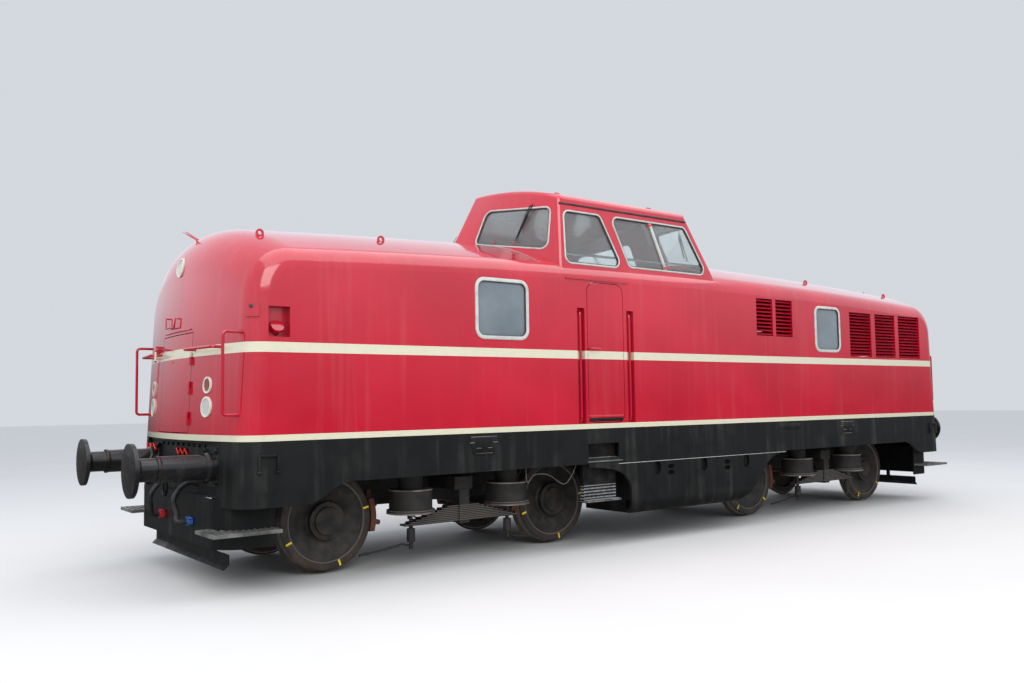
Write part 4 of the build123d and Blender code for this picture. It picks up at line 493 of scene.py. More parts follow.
def rod(name, route, radius, material, body="locomotive"):
    """A round rod along a route of points."""
    curve = bpy.data.curves.new(name, "CURVE")
    curve.dimensions = "3D"
    curve.bevel_depth = radius
    curve.bevel_resolution = ROD_RESOLUTION
    curve.use_fill_caps = True
    line = curve.splines.new("POLY")
    line.points.add(len(route) - 1)
    for point, place in zip(line.points, route):
        point.co = (*place, 1.0)
    return carry(add_object(name, curve), material, body)


def eased(route, steps=5):
    """The same route with its corners rounded, through the same points."""
    points = [Vector(place) for place in route]
    smooth = []
    for index in range(len(points) - 1):
        before = points[max(index - 1, 0)]
        start, stop = points[index], points[index + 1]
        after = points[min(index + 2, len(points) - 1)]
        for step in range(steps):
            share = step / steps
            bend = (2 * before - 5 * start + 4 * stop - after) * share ** 2
            bend += (3 * start - before - 3 * stop + after) * share ** 3
            smooth.append(start + ((stop - before) * share + bend) / 2)
    return smooth + [points[-1]]


def skin_at(node, axis, point):
    """Where a line along an axis from outside first meets a node, and the normal there, or None."""
    start = Vector(point)
    side = -1 if start[axis] < (CAB_MID_X if axis == 0 else 0.0) else 1
    start[axis] = side * OUTSIDE
    heading = Vector((0, 0, 0))
    heading[axis] = -side
    hit, place, normal, _ = NODES[node].ray_cast(start, heading)
    if not hit:
        return None
    return place, normal if normal[axis] * side > 0 else -normal


def wall_at(node, axis, point):
    """The same, but an error where the node isn't met."""
    found = skin_at(node, axis, point)
    if not found:
        raise ValueError(f"no wall of {node} at {tuple(point)}")
    return found


def rounded(corners, radius, grow, steps=7):
    """A closed outline in a plane with rounded corners, let out by grow, as points (u, v)."""
    outline = []
    count = len(corners)
    for index in range(count):
        here = Vector(corners[index])
        back = (Vector(corners[index - 1]) - here).normalized()
        ahead = (Vector(corners[(index + 1) % count]) - here).normalized()
        middle = (back + ahead).normalized()
        half = math.acos(max(-1.0, min(1.0, back.dot(ahead)))) / 2
        hub = here + middle * (radius / math.sin(half))
        bearings = []
        for edge in (back, ahead):
            normal = Vector((-edge.y, edge.x))
            if normal.dot(here - hub) < 0:
                normal = -normal
            bearings.append(math.atan2(normal.y, normal.x))
        start, stop = bearings
        sweep = (stop - start + math.pi) % (2 * math.pi) - math.pi
        for step in range(steps + 1):
            angle = start + sweep * step / steps
            outline.append(hub + (radius + grow) * Vector((math.cos(angle), math.sin(angle))))
    return outline


# How far outside an opening its wall is felt for, nearer where the wall is narrow
BAND_REACHES = (0.012, 0.006, 0.003, 0.001)


def band_foot(node, axis, side, inner, outer):
    """The wall just outside an opening's edge: its reach from the edge, the place and the normal."""
    for reach in BAND_REACHES:
        u, v = inner + (outer - inner) * reach / BAND_REACHES[0]
        point = Vector((0, 0, v))
        point[1 - axis] = u
        point[axis] = side
        found = skin_at(node, axis, point)
        if found:
            return reach, *found
    raise ValueError(f"no wall of {node} beside {tuple(inner)}")


def frame_band(name, node, axis, side, corners, radius, profile, material):
    """A moulding round an opening: profile points of (outward from the opening's edge, out of the wall)."""
    ring = rounded(corners, radius, BAND_REACHES[0])
    verts, faces = [], []
    for outer, inner in zip(ring, rounded(corners, radius, 0.0)):
        reach, place, normal = band_foot(node, axis, side, inner, outer)
        away = Vector((0, 0, outer.y - inner.y))
        away[1 - axis] = outer.x - inner.x
        away[axis] = -away.dot(normal) / normal[axis]
        away.normalize()
        for grow, out in profile:
            verts.append(place + away * (grow - reach) + normal * out)
    rows, count = len(profile), len(ring)
    for index in range(count):
        after = (index + 1) % count
        for row in range(rows):
            up = (row + 1) % rows
            faces.append((index * rows + row, after * rows + row, after * rows + up, index * rows + up))
    return mesh_piece(name, verts, faces, material)


# Mouldings of the windows: cab gasket, broader hood gasket, and the seal between gasket and pane
GASKET_PROFILE = ((-0.006, -0.012), (-0.006, 0.004), (-0.002, 0.009), (0.008, 0.010), (0.013, 0.006),
                  (0.015, -0.002))
BROAD_PROFILE = ((-0.008, -0.012), (-0.008, 0.006), (-0.003, 0.012), (0.020, 0.013), (0.028, 0.008),
                 (0.031, -0.002))
INNER_PROFILE = ((-0.015, -0.013), (-0.015, 0.002), (-0.011, 0.005), (-0.006, 0.005), (-0.006, -0.013))
# Windows as in the part's source: low near x, low far x, low z, top near x, top far x, top z
SIDE_WINDOWS = (
    (-2.010, -1.165, RAIL + 3.105, -1.985, -1.455, RAIL + 3.690),
    (-1.045, 0.285, RAIL + 3.125, -1.285, -0.050, RAIL + 3.695),
)
# Window in each half of a cab end: y, low z, top z, at the outer post and at the middle one
END_WINDOW = ((1.275, RAIL + 3.265, RAIL + 3.735), (0.320, RAIL + 3.425, RAIL + 3.830))
# Hood windows: node, near x, far x, low z, top z
HOOD_WINDOWS = (
    ("near_hood", -3.225, -2.605, RAIL + 2.255, RAIL + 2.825),
    ("far_hood", 2.455, 2.995, RAIL + 2.245, RAIL + 2.825),
)
WINDOW_R = 0.075
HOOD_WINDOW_R = 0.080


def twin_x(x, side):
    """A place along the cab's right side, or its diagonal twin on the left."""
    return x if side == RIGHT else 2 * CAB_MID_X - x


def window_trim(lead, tail, node, axis, side, corners, radius=WINDOW_R, profile=GASKET_PROFILE):
    """A window's pale gasket and its dark seal."""
    frame_band(f"{lead}_gasket_{tail}", node, axis, side, corners, radius, profile, GASKET)
    frame_band(f"{lead}_seal_{tail}", node, axis, side, corners, radius, INNER_PROFILE, SEAL)


def window_gaskets():
    """Trim round every cab window and hood window."""
    (outer_y, outer_low, outer_top), (inner_y, inner_low, inner_top) = END_WINDOW
    for side, word in SIDES:
        for index, (low_near, low_far, low, top_near, top_far, top) in enumerate(SIDE_WINDOWS):
            outline = ((low_near, low), (low_far, low), (top_far, top), (top_near, top))
            corners = [(twin_x(x, side), z) for x, z in outline]
            window_trim("cab", f"{word}_{index + 1}", "cab_walls", 1, side, corners)
        for node, near, far, low, top in HOOD_WINDOWS:
            corners = [(near, low), (far, low), (far, top), (near, top)]
            window_trim(node, word, node, 1, side, corners, HOOD_WINDOW_R, BROAD_PROFILE)
        corners = [(side * outer_y, outer_low), (side * inner_y, inner_low),
                   (side * inner_y, inner_top), (side * outer_y, outer_top)]
        for end_word, end in ENDS:
            window_trim("cab_end", f"{end_word}_{word}", "cab_walls", 0, end * OUTSIDE, corners)


def side_plate(side, corners, out):
    """Corners and faces of a plate on a side wall, from its outline (x, z) and its reach in and out."""
    verts = [Vector((x, side * (BODY_HALF_W + reach), z)) for reach in out for x, z in corners]
    count = len(corners)
    faces = [tuple(range(count)), tuple(range(count, 2 * count))]
    faces += [(i, (i + 1) % count, count + (i + 1) % count, count + i) for i in range(count)]
    return verts, faces


def side_box(side, x_span, z_span, out):
    """The same for an upright rectangle."""
    (near, far), (low, high) = x_span, z_span
    return side_plate(side, [(near, low), (far, low), (far, high), (near, high)], out)


# Rounding of the edges of small plates and bars
PLATE_EDGE = 0.002
BAR_EDGE = 0.003
# Access panels in the valances: near and far x at the top, the taper to the bottom, low and high z
ACCESS_PANELS = ((-3.340, -3.000, 0.040), (2.940, 3.280, 0.040))
ACCESS_Z = (RAIL + 1.073, RAIL + 1.255)
ACCESS_OUT = (-0.002, 0.006)
# Worn lines on a panel: from and to as shares of its width, and the height above its foot
PANEL_LINES = (
    (0.05, 0.95, 0.172),
    (0.20, 0.80, 0.008),
    (0.00, 0.16, 0.115),
    (0.84, 1.00, 0.115),
    (0.22, 0.40, 0.060),
    (0.62, 0.78, 0.060),
)
LINE_H = 0.005
LINE_OUT = (0.004, 0.008)
# Bright joint over the tank's skin, and its two pairs of vents: x, z and half sizes
JOINT_X = (-1.330, 1.690)
JOINT_Z = (RAIL + 0.882, RAIL + 0.888)
VENT_X = (-0.490, 0.515)
VENT_Z = (RAIL + 0.744, RAIL + 0.814)
VENT_HALF = (0.056, 0.024)
TANK_OUT = (-0.002, 0.003)
# Thin pipe that hangs from the valance by the second wheel, as (x, out from the middle, z)
PIPE_LOOP = (
    (-2.604, 1.470, RAIL + 0.925),
    (-2.598, 1.430, RAIL + 0.870),
    (-2.570, 1.420, RAIL + 0.749),
    (-2.477, 1.420, RAIL + 0.823),
    (-2.291, 1.420, RAIL + 0.812),
    (-2.082, 1.420, RAIL + 0.702),
    (-1.961, 1.420, RAIL + 0.792),
    (-1.930, 1.430, RAIL + 0.865),
    (-1.926, 1.470, RAIL + 0.925),
)
PIPE_LOOP_R = 0.006
# Bare plate on the far valance
PLATE_X = (1.560, 2.010)
PLATE_Z = (RAIL + 1.178, RAIL + 1.252)
PLATE_OUT = (-0.002, 0.005)
BARE_PLATE_EDGE = 0.0015
# Brackets for a jack on the end skirts
JACK_X = (5.325, 5.490)
JACK_Z = (RAIL + 1.030, RAIL + 1.172)
JACK_BAR = 0.020
JACK_FOOT = 0.016
JACK_OUT = (-0.014, 0.020)
# Worn ledge under the step pocket below a cab door
LEDGE_X = (-1.790, -1.280)
LEDGE_Z = (RAIL + 0.918, RAIL + 0.930)
LEDGE_OUT = (-0.010, 0.016)


def access_panels(side, word):
    """Raised panels, with worn lines where their edges and latches are."""
    low, high = ACCESS_Z
    plates, lines = [], []
    for near, far, taper in ACCESS_PANELS:
        corners = [(near + taper, low), (far - taper, low), (far, high), (near, high)]
        plates.append(side_plate(side, corners, ACCESS_OUT))
        for start, stop, up in PANEL_LINES:
            x_span = [near + (far - near) * share for share in (start, stop)]
            lines.append(side_box(side, x_span, (low + up, low + up + LINE_H), LINE_OUT))
    mesh_piece(f"access_panels_{word}", *joined(plates), FRAME_BLACK, bevel=PLATE_EDGE)
    mesh_piece(f"worn_lines_{word}", *joined(lines), WORN_EDGE)


def tank_details(side, word):
    """Vents in the tank's skin, six-sided and one over another, as flat plates of painted shade, and the
    bright joint above.
    """
    wide, high = VENT_HALF
    vents = []
    for x in VENT_X:
        for z in VENT_Z:
            lens = [(x - wide, z), (x - wide / 2, z - high), (x + wide / 2, z - high), (x + wide, z),
                    (x + wide / 2, z + high), (x - wide / 2, z + high)]
            vents.append(side_plate(side, lens, TANK_OUT))
    mesh_piece(f"tank_vents_{word}", *joined(vents), VENT_SHADE)
    mesh_piece(f"tank_joint_{word}", *side_box(side, JOINT_X, JOINT_Z, TANK_OUT), WORN_JOINT)


def jack_bracket(side, word, end, end_word):
    """A bracket of a top bar and two legs with feet."""
    inner, outer = (end * x for x in JACK_X)
    low, high = JACK_Z
    bars = [((inner, outer), (high - JACK_BAR, high))]
    for x in (inner, outer):
        bars.append(((x - JACK_BAR / 2, x + JACK_BAR / 2), (low, high)))
        bars.append(((x - JACK_BAR, x + JACK_BAR), (low - JACK_FOOT, low)))
    shapes = [side_box(side, sorted(x_span), z_span, JACK_OUT) for x_span, z_span in bars]
    mesh_piece(f"jack_bracket_{end_word}_{word}", *joined(shapes), FRAME_BLACK, bevel=PLATE_EDGE)


def valance_fittings():
    """What sits on the valances and the tank's skin, on both sides."""
    for side, word in SIDES:
        access_panels(side, word)
        tank_details(side, word)
        loop = eased([(x, side * out, z) for x, out, z in PIPE_LOOP])
        rod(f"pipe_loop_{word}", loop, PIPE_LOOP_R, PIPE_GREY)
        plate = side_box(side, PLATE_X, PLATE_Z, PLATE_OUT)
        mesh_piece(f"bare_plate_{word}", *plate, FRAME_BLACK, bevel=BARE_PLATE_EDGE)
        ledge = side_box(side, LEDGE_X, LEDGE_Z, LEDGE_OUT)
        mesh_piece(f"pocket_ledge_{word}", *ledge, STEP_IRON, bevel=PLATE_EDGE)
        for end_word, end in ENDS:
            jack_bracket(side, word, end, end_word)


# Eave gutter of the cab: x, y and z from and to
GUTTER = ((-2.040, -0.020), (1.370, 1.396), (RAIL + 3.762, RAIL + 3.778))
# Slider post of the far side window, its foot and top as (x, z), and its latches
SLIDER_LOW = (-0.440, RAIL + 3.128)
SLIDER_TOP = (-0.650, RAIL + 3.692)
SLIDER_W = 0.034
SLIDER_OUT = (-0.010, 0.005)
LATCH_OUT = 0.008
LATCH_INSET = 0.030
LATCH_HALF = Vector((0.030, 0.010, 0.010))
# The post between the side windows, at the slider's foot and top
POST_X = (-1.100, -1.370)
# Kick strips at a side door's foot: name, z from and to, reach in and out, rounding and material
KICK_X = (-1.755, -1.250)
KICK_STRIPS = (
    ("bar", (RAIL + 1.362, RAIL + 1.400), (-0.002, 0.008), 0.003, FRAME_BLACK),
    ("lip", (RAIL + 1.400, RAIL + 1.430), (-0.002, 0.014), 0.004, RAIL_PAINT),
)
# Lugs on the cab roof
LUG_X = (-1.848, -0.380)
LUG_Y = 1.120
LUG_SIZE = (0.070, 0.022, 0.034)
LUG_EDGE = 0.006


def gutter(side, word):
    x_span = sorted(twin_x(x, side) for x in GUTTER[0])
    y_span = sorted(side * y for y in GUTTER[1])
    low, high = zip(x_span, y_span, GUTTER[2])
    mesh_piece(f"gutter_{word}", *bar_mesh(low, high), SEAL, bevel=BAR_EDGE)


def slider(side, word):
    """The sliding pane's post, as deep in the window as the wall beside it, with a latch at each end."""
    post, latches = [], []
    for (x, z), post_x in zip((SLIDER_LOW, SLIDER_TOP), POST_X):
        wall, _ = wall_at("cab_walls", 1, (twin_x(post_x, side), side, z))
        pane = Vector((twin_x(x, side), wall.y, z))
        for reach in SLIDER_OUT:
            for across in (-SLIDER_W / 2, SLIDER_W / 2):
                post.append(pane + Vector((across, side * reach, 0.0)))
        rise = LATCH_INSET if z < SLIDER_TOP[1] else -LATCH_INSET
        foot = pane + Vector((0.0, side * LATCH_OUT, rise))
        latches.append(bar_mesh(foot - LATCH_HALF, foot + LATCH_HALF))
    faces = [(0, 1, 3, 2), (4, 5, 7, 6), (0, 1, 5, 4), (2, 3, 7, 6), (0, 2, 6, 4), (1, 3, 7, 5)]
    mesh_piece(f"slider_post_{word}", post, faces, GASKET, bevel=BAR_EDGE)
    mesh_piece(f"slider_latches_{word}", *joined(latches), SIGNAL_RED, bevel=BAR_EDGE)


def kick_strips(side, word):
    """Strips that move with a side door; both doors are at the same x."""
    for part, z_span, out, edge, material in KICK_STRIPS:
        strip = side_box(side, KICK_X, z_span, out)
        mesh_piece(f"kick_{part}_{word}", *strip, material, f"side_door_{word}", bevel=edge)


def roof_lugs(side, word):
    size = Vector(LUG_SIZE) / 2
    lugs = []
    for x in LUG_X:
        roof, _ = wall_at("cab_roof", 2, (twin_x(x, side), side * LUG_Y, 1.0))
        lugs.append(bar_mesh(roof - size, roof + size))
    mesh_piece(f"roof_lugs_{word}", *joined(lugs), RAIL_PAINT, bevel=LUG_EDGE)


def cab_fittings():
    """What sits on the cab's sides and roof; gutters, posts and lugs have a diagonal twin on the left."""
    for side, word in SIDES:
        gutter(side, word)
        slider(side, word)
        kick_strips(side, word)
        roof_lugs(side, word)


# Hooks at the foot of an end window: y, height of the pane behind, and route as (up, off the pane)
HOOK_Y = (0.572, 0.844)
HOOK_PANE_UP = 0.050
HOOK_ROUTE = ((-0.020, 0.004), (-0.010, 0.014), (0.045, 0.014))
HOOK_R = 0.008


def window_hooks():
    """Small red hooks at the foot of an end window, and of its diagonal twin."""
    (outer_y, outer_low, _), (inner_y, inner_low, _) = END_WINDOW
    for end_word, end, side in (("near", -OUTSIDE, RIGHT), ("far", OUTSIDE, LEFT)):
        for index, y in enumerate(HOOK_Y):
            sill = inner_low + (outer_low - inner_low) * (y - inner_y) / (outer_y - inner_y)
            pane, normal = wall_at("cab_glass", 0, (end, side * y, sill + HOOK_PANE_UP))
            route = []
            for up, reach in HOOK_ROUTE:
                place = pane + normal * reach
                route.append((place.x, place.y, sill + up))
            rod(f"window_hook_{end_word}_{index + 1}", route, HOOK_R, SIGNAL_RED)


# Wipers' second arm and blade: y and z of both ends, lift off the pane and radius
WIPER_PARTS = (
    ("arm", ((1.040, RAIL + 3.800), (0.918, RAIL + 3.575)), 0.020, 0.006),
    ("blade", ((0.965, RAIL + 3.680), (0.868, RAIL + 3.432)), 0.012, 0.009),
)


def wiper_details():
    for end_word, end in ENDS:
        for side, word in SIDES:
            for part, tips, lift, radius in WIPER_PARTS:
                route = []
                for y, z in tips:
                    point = (end * OUTSIDE, side * y, z)
                    place, normal = skin_at("cab_glass", 0, point) or wall_at("cab_walls", 0, point)
                    route.append(place + normal * lift)
                rod(f"wiper_{part}_{end_word}_{word}", route, radius, MATERIALS["rubber_black"])


# Corner flap on a nose, with its knob
FLAP_Y = (1.377, 1.462)
FLAP_Z = (RAIL + 2.350, RAIL + 2.453)
FLAP_STEPS = (8, 3)
FLAP_LIFTS = (-0.002, 0.016)
KNOB_PROFILE = ((-0.006, 0.010), (0.012, 0.010), (0.014, 0.017), (0.024, 0.017), (0.029, 0.009))
KNOB_DROP = 0.012
# Bracket for a lamp, as (y, z), its lift off the skin, its feet's depth in it and its radius
LAMP_BRACKET = ((0.300, RAIL + 2.460), (0.285, RAIL + 2.360), (0.000, RAIL + 2.355), (-0.020, RAIL + 2.440))
BRACKET_LIFT = 0.030
BRACKET_SINK = -0.004
NOSE_ROD_R = 0.009
# Small box beside the bracket
BOX_Y = (0.620, 0.760)
BOX_Z = (RAIL + 2.128, RAIL + 2.205)
BOX_STEPS = (2, 2)
BOX_LIFTS = (-0.004, 0.045)
# Drip strip over the end door
DRIP_HALF_W = 0.390
DRIP_Z = RAIL + 2.310
DRIP_STEPS = 10
DRIP_LIFT = 0.004
DRIP_R = 0.008
# Bent rod on the brow of the hood's roof, as (x, y, z) at the near end, and its foot on the roof
BROW_ROD = (
    (-5.560, -0.125, RAIL + 3.160),
    (-5.592, -0.110, RAIL + 3.215),
    (-5.600, 0.100, RAIL + 3.290),
    (-5.590, 0.290, RAIL + 3.345),
    (-5.540, 0.330, RAIL + 3.350),
)
BROW_ROD_FOOT = (-5.400, 0.330)


def hood_of(end):
    return "near_hood" if end < 0 else "far_hood"


def nose_point(end, y, z, lift):
    """A point on a nose's skin at y and z, lifted off it along its normal."""
    place, normal = wall_at(hood_of(end), 0, (end * OUTSIDE, y, z))
    return place + normal * lift


def skin_patch(name, end, y_span, z_span, steps, lifts, material):
    """A thin plate that follows a nose's skin between two reaches off it."""
    columns, rows = steps
    verts, faces = [], []
    for lift in lifts:
        for row in range(rows + 1):
            z = z_span[0] + (z_span[1] - z_span[0]) * row / rows
            for column in range(columns + 1):
                y = y_span[0] + (y_span[1] - y_span[0]) * column / columns
                verts.append(nose_point(end, y, z, lift))
    wide, layer = columns + 1, (columns + 1) * (rows + 1)
    for row in range(rows):
        for column in range(columns):
            corner = row * wide + column
            quad = (corner, corner + 1, corner + wide + 1, corner + wide)
            faces.append(quad)
            faces.append(tuple(index + layer for index in quad))
    edge = list(range(columns))
    edge += [columns + row * wide for row in range(rows)]
    edge += [rows * wide + column for column in range(columns, 0, -1)]
    edge += [row * wide for row in range(rows, 0, -1)]
    for index, here in enumerate(edge):
        after = edge[(index + 1) % len(edge)]
        faces.append((here, after, after + layer, here + layer))
    return mesh_piece(name, verts, faces, material)


def corner_flap(end, end_word):
    y_span = [end * y for y in FLAP_Y]
    skin_patch(f"corner_flap_{end_word}", end, y_span, FLAP_Z, FLAP_STEPS, FLAP_LIFTS, MATERIALS["body_red"])
    knob_y, knob_z = sum(y_span) / 2, FLAP_Z[1] - KNOB_DROP
    foot, tip = (nose_point(end, knob_y, knob_z, lift) for lift in (0.0, 1.0))
    mesh_piece(f"flap_knob_{end_word}", *lathe(KNOB_PROFILE, foot, tip - foot), SEAL)


def lamp_bracket(end, end_word):
    """A bracket and the small box beside it."""
    bracket = [nose_point(end, end * -y, z, BRACKET_LIFT) for y, z in LAMP_BRACKET]
    first, last = (nose_point(end, end * -y, z, BRACKET_SINK) for y, z in (LAMP_BRACKET[0], LAMP_BRACKET[-1]))
    rod(f"lamp_bracket_{end_word}", [first, *bracket, last], NOSE_ROD_R, RAIL_PAINT)
    box_y = [end * -y for y in BOX_Y]
    skin_patch(f"nose_box_{end_word}", end, box_y, BOX_Z, BOX_STEPS, BOX_LIFTS, RAIL_PAINT)


def door_drip(end, end_word):
    places = [DRIP_HALF_W * (2 * step / DRIP_STEPS - 1) for step in range(DRIP_STEPS + 1)]
    strip = [nose_point(end, y, DRIP_Z, DRIP_LIFT) for y in places]
    rod(f"door_drip_{end_word}", strip, DRIP_R, RAIL_PAINT)


def brow_rod(end, end_word):
    brow = [(-end * x, -end * y, z) for x, y, z in BROW_ROD]
    foot_x, foot_y = (-end * place for place in BROW_ROD_FOOT)
    roof, _ = wall_at(hood_of(end), 2, (foot_x, foot_y, 1.0))
    rod(f"brow_rod_{end_word}", [*brow, roof], NOSE_ROD_R, RAIL_PAINT)


def nose_fittings():
    """What sits on each nose; the far one is the near one turned half round."""
    for end_word, end in ENDS:
        corner_flap(end, end_word)
        lamp_bracket(end, end_word)
        door_drip(end, end_word)
        brow_rod(end, end_word)


# Headstocks: bolts along the top
HEADSTOCK_X = 5.660
BOLT_HALF_SPAN = 0.640
BOLT_COUNT = 9
BOLT_Z = RAIL + 1.228
BOLT_PROFILE = ((-0.003, 0.017), (0.010, 0.017), (0.013, 0.012))
HEXAGON = 6
# Nuts on the buffers' bases
BUFFER_Y = 0.875
BUFFER_Z = RAIL + 1.056
BASE_X = 5.685
NUT_OFFSETS = (-0.135, 0.135)
NUT_PROFILE = ((-0.003, 0.024), (0.016, 0.024), (0.020, 0.018), (0.020, 0.011), (0.032, 0.011))
# Red zigzag levers: route as (y, z), and each one's (aside, out along x, up)
LEVER_ROUTE = ((0.160, RAIL + 1.190), (0.095, RAIL + 1.135), (0.035, RAIL + 1.190), (-0.030, RAIL + 1.135),
               (-0.095, RAIL + 1.190), (-0.160, RAIL + 1.140))
LEVER_PLACES = ((0.0, 5.672, 0.0), (0.930, 5.700, 0.020))
LEVER_R = 0.011


def headstock_fittings():
    """Bolts, nuts and levers on both headstocks."""
    for end_word, end in ENDS:
        outward = (end, 0, 0)
        bolts = []
        for step in range(BOLT_COUNT):
            y = BOLT_HALF_SPAN * (2 * step / (BOLT_COUNT - 1) - 1)
            bolts.append(lathe(BOLT_PROFILE, (end * HEADSTOCK_X, y, BOLT_Z), outward, HEXAGON))
        mesh_piece(f"headstock_bolts_{end_word}", *joined(bolts), FRAME_BLACK)
        nuts = []
        for side, _ in SIDES:
            for across in NUT_OFFSETS:
                for up in NUT_OFFSETS:
                    place = (end * BASE_X, side * BUFFER_Y + across, BUFFER_Z + up)
                    nuts.append(lathe(NUT_PROFILE, place, outward, HEXAGON))
        mesh_piece(f"buffer_nuts_{end_word}", *joined(nuts), FRAME_BLACK)
        for index, (aside, out, up) in enumerate(LEVER_PLACES):
            route = [(end * out, -end * (y + aside), z + up) for y, z in LEVER_ROUTE]
            rod(f"coupling_lever_{end_word}_{index + 1}", route, LEVER_R, SIGNAL_RED)


# Yellow marks on the tyres: wheelset, its x, and angles in degrees seen from the right
TYRE_MARKS = (
    (1, -4.550, (13.0, -72.0, 205.0)),
    (2, -1.750, (-78.0, 5.0, 197.0)),
    (3, 1.750, (-41.0, -124.0)),
    (4, 4.550, (-35.0, -114.0)),
)
MARK_SPAN = (0.398, 0.458)
MARK_W = 0.020
MARK_T = 0.003
WHEEL_FACE_Y = 0.820


def tyre_marks():
    """Short radial strokes of yellow paint across the joint of tyre and wheel."""
    low = (MARK_SPAN[0], -MARK_T / 2, -MARK_W / 2)
    high = (MARK_SPAN[1], MARK_T / 2, MARK_W / 2)
    for number, axle_x, angles in TYRE_MARKS:
        strokes = []
        for side, _ in SIDES:
            for angle in angles:
                spin = Matrix.Rotation(-math.radians(angle), 4, "Y")
                shift = Matrix.Translation((axle_x, side * WHEEL_FACE_Y, AXLE_Z))
                strokes.append(bar_mesh(low, high, shift @ spin))
        mesh_piece(f"tyre_marks_{number}", *joined(strokes), YELLOW, f"wheelset_{number}")


# Spring drums' places about a bogie's centre, and their rims: z, and profile as (up, radius)
DRUM_X = 0.595
DRUM_Y = 1.030
DRUM_RIMS = (
    (RAIL + 0.508, ((-0.004, 0.236), (-0.004, 0.2425), (0.006, 0.2425), (0.006, 0.236))),
    (RAIL + 0.736, ((-0.006, 0.212), (-0.006, 0.2185), (0.006, 0.2185), (0.006, 0.212))),
)
RIM_STEPS = 40


def drum_rims():
    """Worn rims round the spring drums' flanges and tops."""
    for word, centre in BOGIES:
        rims = []
        for x in (centre - DRUM_X, centre + DRUM_X):
            for y in (-DRUM_Y, DRUM_Y):
                for z, profile in DRUM_RIMS:
                    rims.append(lathe(profile, (x, y, z), (0, 0, 1), RIM_STEPS))
        mesh_piece(f"drum_rims_{word}", *joined(rims), WORN_EDGE, f"bogie_{word}")


# Thin brake rods from the spring hangers' feet, as (x, y, z) about a bogie's centre, and mirrored
BRAKE_RODS = (
    ((-0.600, 1.020, RAIL + 0.185), (-0.690, 1.000, RAIL + 0.200), (-0.860, 1.000, RAIL + 0.172),
     (-1.150, 1.000, RAIL + 0.140)),
    ((0.600, 1.020, RAIL + 0.230), (0.690, 1.000, RAIL + 0.150), (0.930, 1.000, RAIL + 0.122)),
)
BRAKE_ROD_R = 0.011


def brake_rods():
    for word, centre in BOGIES:
        for side, side_word in SIDES:
            for index, route in enumerate(BRAKE_RODS):
                points = [(centre + x, side * y, z) for x, y, z in route]
                rod(f"brake_rod_{word}_{side_word}_{index + 1}", points, BRAKE_ROD_R,
                    MATERIALS["running_gear"], f"bogie_{word}")


# Camera: place, heading from +Y toward +X, tilt up, roll, and focal length in the photograph's pixels
CAMERA_PLACE = (-8.42398, -8.94642, 1.61235)
CAMERA_YAW = math.radians(37.032)
CAMERA_PITCH = math.radians(3.828)
CAMERA_ROLL = math.radians(-0.861)
FOCAL_PX = 909.284
PHOTO_W = 1024
SENSOR_MM = 36.0
CLIP_END = 500.0


def place_camera():
    """The photograph's camera."""
    ahead = Vector((math.sin(CAMERA_YAW) * math.cos(CAMERA_PITCH),
                    math.cos(CAMERA_YAW) * math.cos(CAMERA_PITCH), math.sin(CAMERA_PITCH)))
    level = Vector((math.cos(CAMERA_YAW), -math.sin(CAMERA_YAW), 0.0))
    upright = level.cross(ahead)
    right = math.cos(CAMERA_ROLL) * level + math.sin(CAMERA_ROLL) * upright
    up = -math.sin(CAMERA_ROLL) * level + math.cos(CAMERA_ROLL) * upright
    turn = Matrix((right, up, -ahead)).transposed().to_4x4()
    data = bpy.data.cameras.new("camera")
    data.sensor_width = SENSOR_MM
    data.lens = FOCAL_PX / PHOTO_W * SENSOR_MM
    data.clip_end = CLIP_END
    camera = add_object("camera", data)
    camera.matrix_world = Matrix.Translation(CAMERA_PLACE) @ turn
    bpy.context.scene.camera = camera


# Surroundings: heights of a direction between which the ground's light gives way to the sky's,
# both lights, and the plain colour behind the object
HORIZON = (-0.01, 0.16)
GROUND_LIGHT = (0.10, 0.10, 0.10)
SKY_LIGHT = (0.86, 0.90, 0.98)
BACKDROP = (0.66, 0.69, 0.73)
FLOOR_REACH = 90.0
FLOOR_ROUGHNESS = 0.8
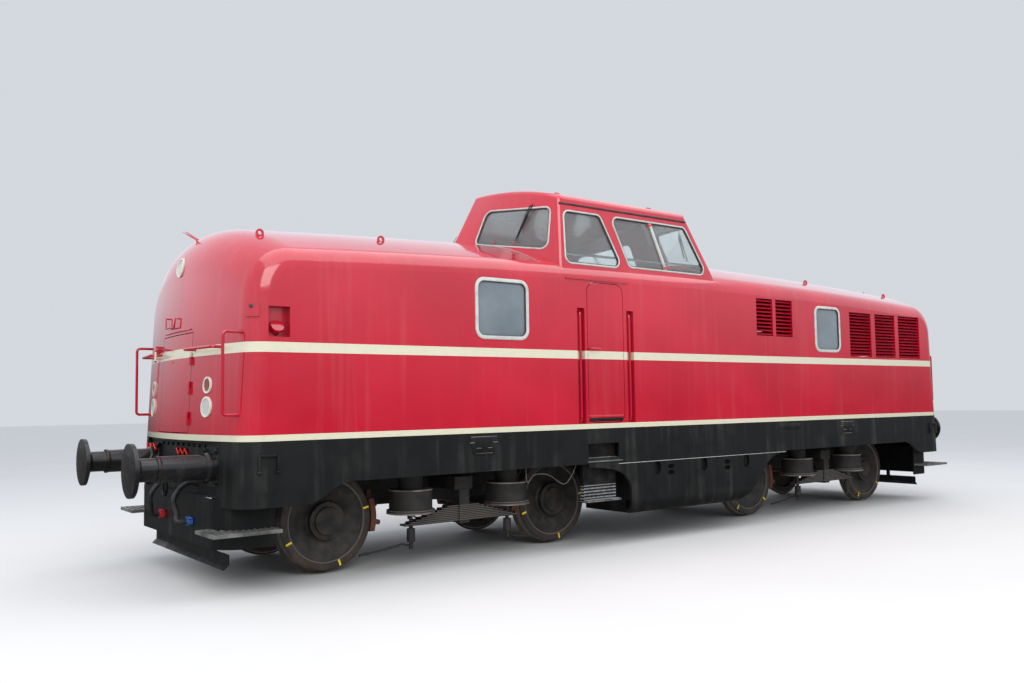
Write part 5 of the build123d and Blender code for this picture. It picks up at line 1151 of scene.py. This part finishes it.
# Lights: name, place, what it faces, width and depth, power, colour, and whether paint mirrors it
LIGHTS = (
    ("sky", (0.0, -3.0, 12.0), (0.0, 0.0, 1.5), (22.0, 14.0), 1300.0, WHITE, True),
    ("key", (-9.0, -13.0, 9.0), (-1.0, 0.0, 1.5), (10.0, 7.0), 800.0, (1.0, 0.98, 0.95), True),
    ("end_fill", (-16.0, 2.0, 6.0), (-5.0, 0.0, 1.5), (8.0, 6.0), 380.0, WHITE, False),
    ("low_fill", (2.0, -14.0, 2.0), (0.0, 0.0, 0.6), (16.0, 3.0), 200.0, WHITE, False),
)


def area_light(name, place, target, size, power, colour, glossy):
    data = bpy.data.lights.new(name, "AREA")
    data.shape = "RECTANGLE"
    data.size, data.size_y = size
    data.energy = power
    data.color = colour
    light = add_object(name, data)
    light.location = place
    light.rotation_mode = "QUATERNION"
    light.rotation_quaternion = (Vector(target) - Vector(place)).to_track_quat("-Z", "Y")
    light.visible_glossy = glossy


def surroundings():
    """A sky over darker ground, for light and mirrors, and a plain backdrop for the camera."""
    recipe = Recipe("studio", "worlds", "Background")
    sky = recipe.mix(recipe.span(recipe.axis("Z", "Generated"), *HORIZON), GROUND_LIGHT, SKY_LIGHT)
    seen = recipe.add("ShaderNodeLightPath").outputs["Is Camera Ray"]
    recipe.feed(recipe.shader.inputs["Color"], recipe.mix(seen, sky, BACKDROP))
    bpy.context.scene.world = recipe.made


def studio_floor():
    """A pale floor that the paint doesn't mirror."""
    recipe = Recipe("studio_floor")
    shade = recipe.mix(recipe.noise(0.5), (0.60, 0.60, 0.59), (0.66, 0.66, 0.65))
    material = recipe.finish(shade, FLOOR_ROUGHNESS)
    mesh = bpy.data.meshes.new("studio_floor")
    corners = [(x * FLOOR_REACH, y * FLOOR_REACH, 0) for x, y in ((-1, -1), (1, -1), (1, 1), (-1, 1))]
    mesh.from_pydata(corners, [], [(0, 1, 2, 3)])
    floor = add_object("studio_floor", mesh)
    floor.data.materials.append(material)
    floor.visible_glossy = False


def studio():
    """Surroundings, floor, and soft light from above and from the camera's side."""
    surroundings()
    studio_floor()
    for light in LIGHTS:
        area_light(*light)
    bpy.context.scene.view_settings.view_transform = "Standard"


place_camera()
studio()
dress_nodes()
window_gaskets()
valance_fittings()
cab_fittings()
window_hooks()
wiper_details()
nose_fittings()
headstock_fittings()
tyre_marks()
drum_rims()
brake_rods()
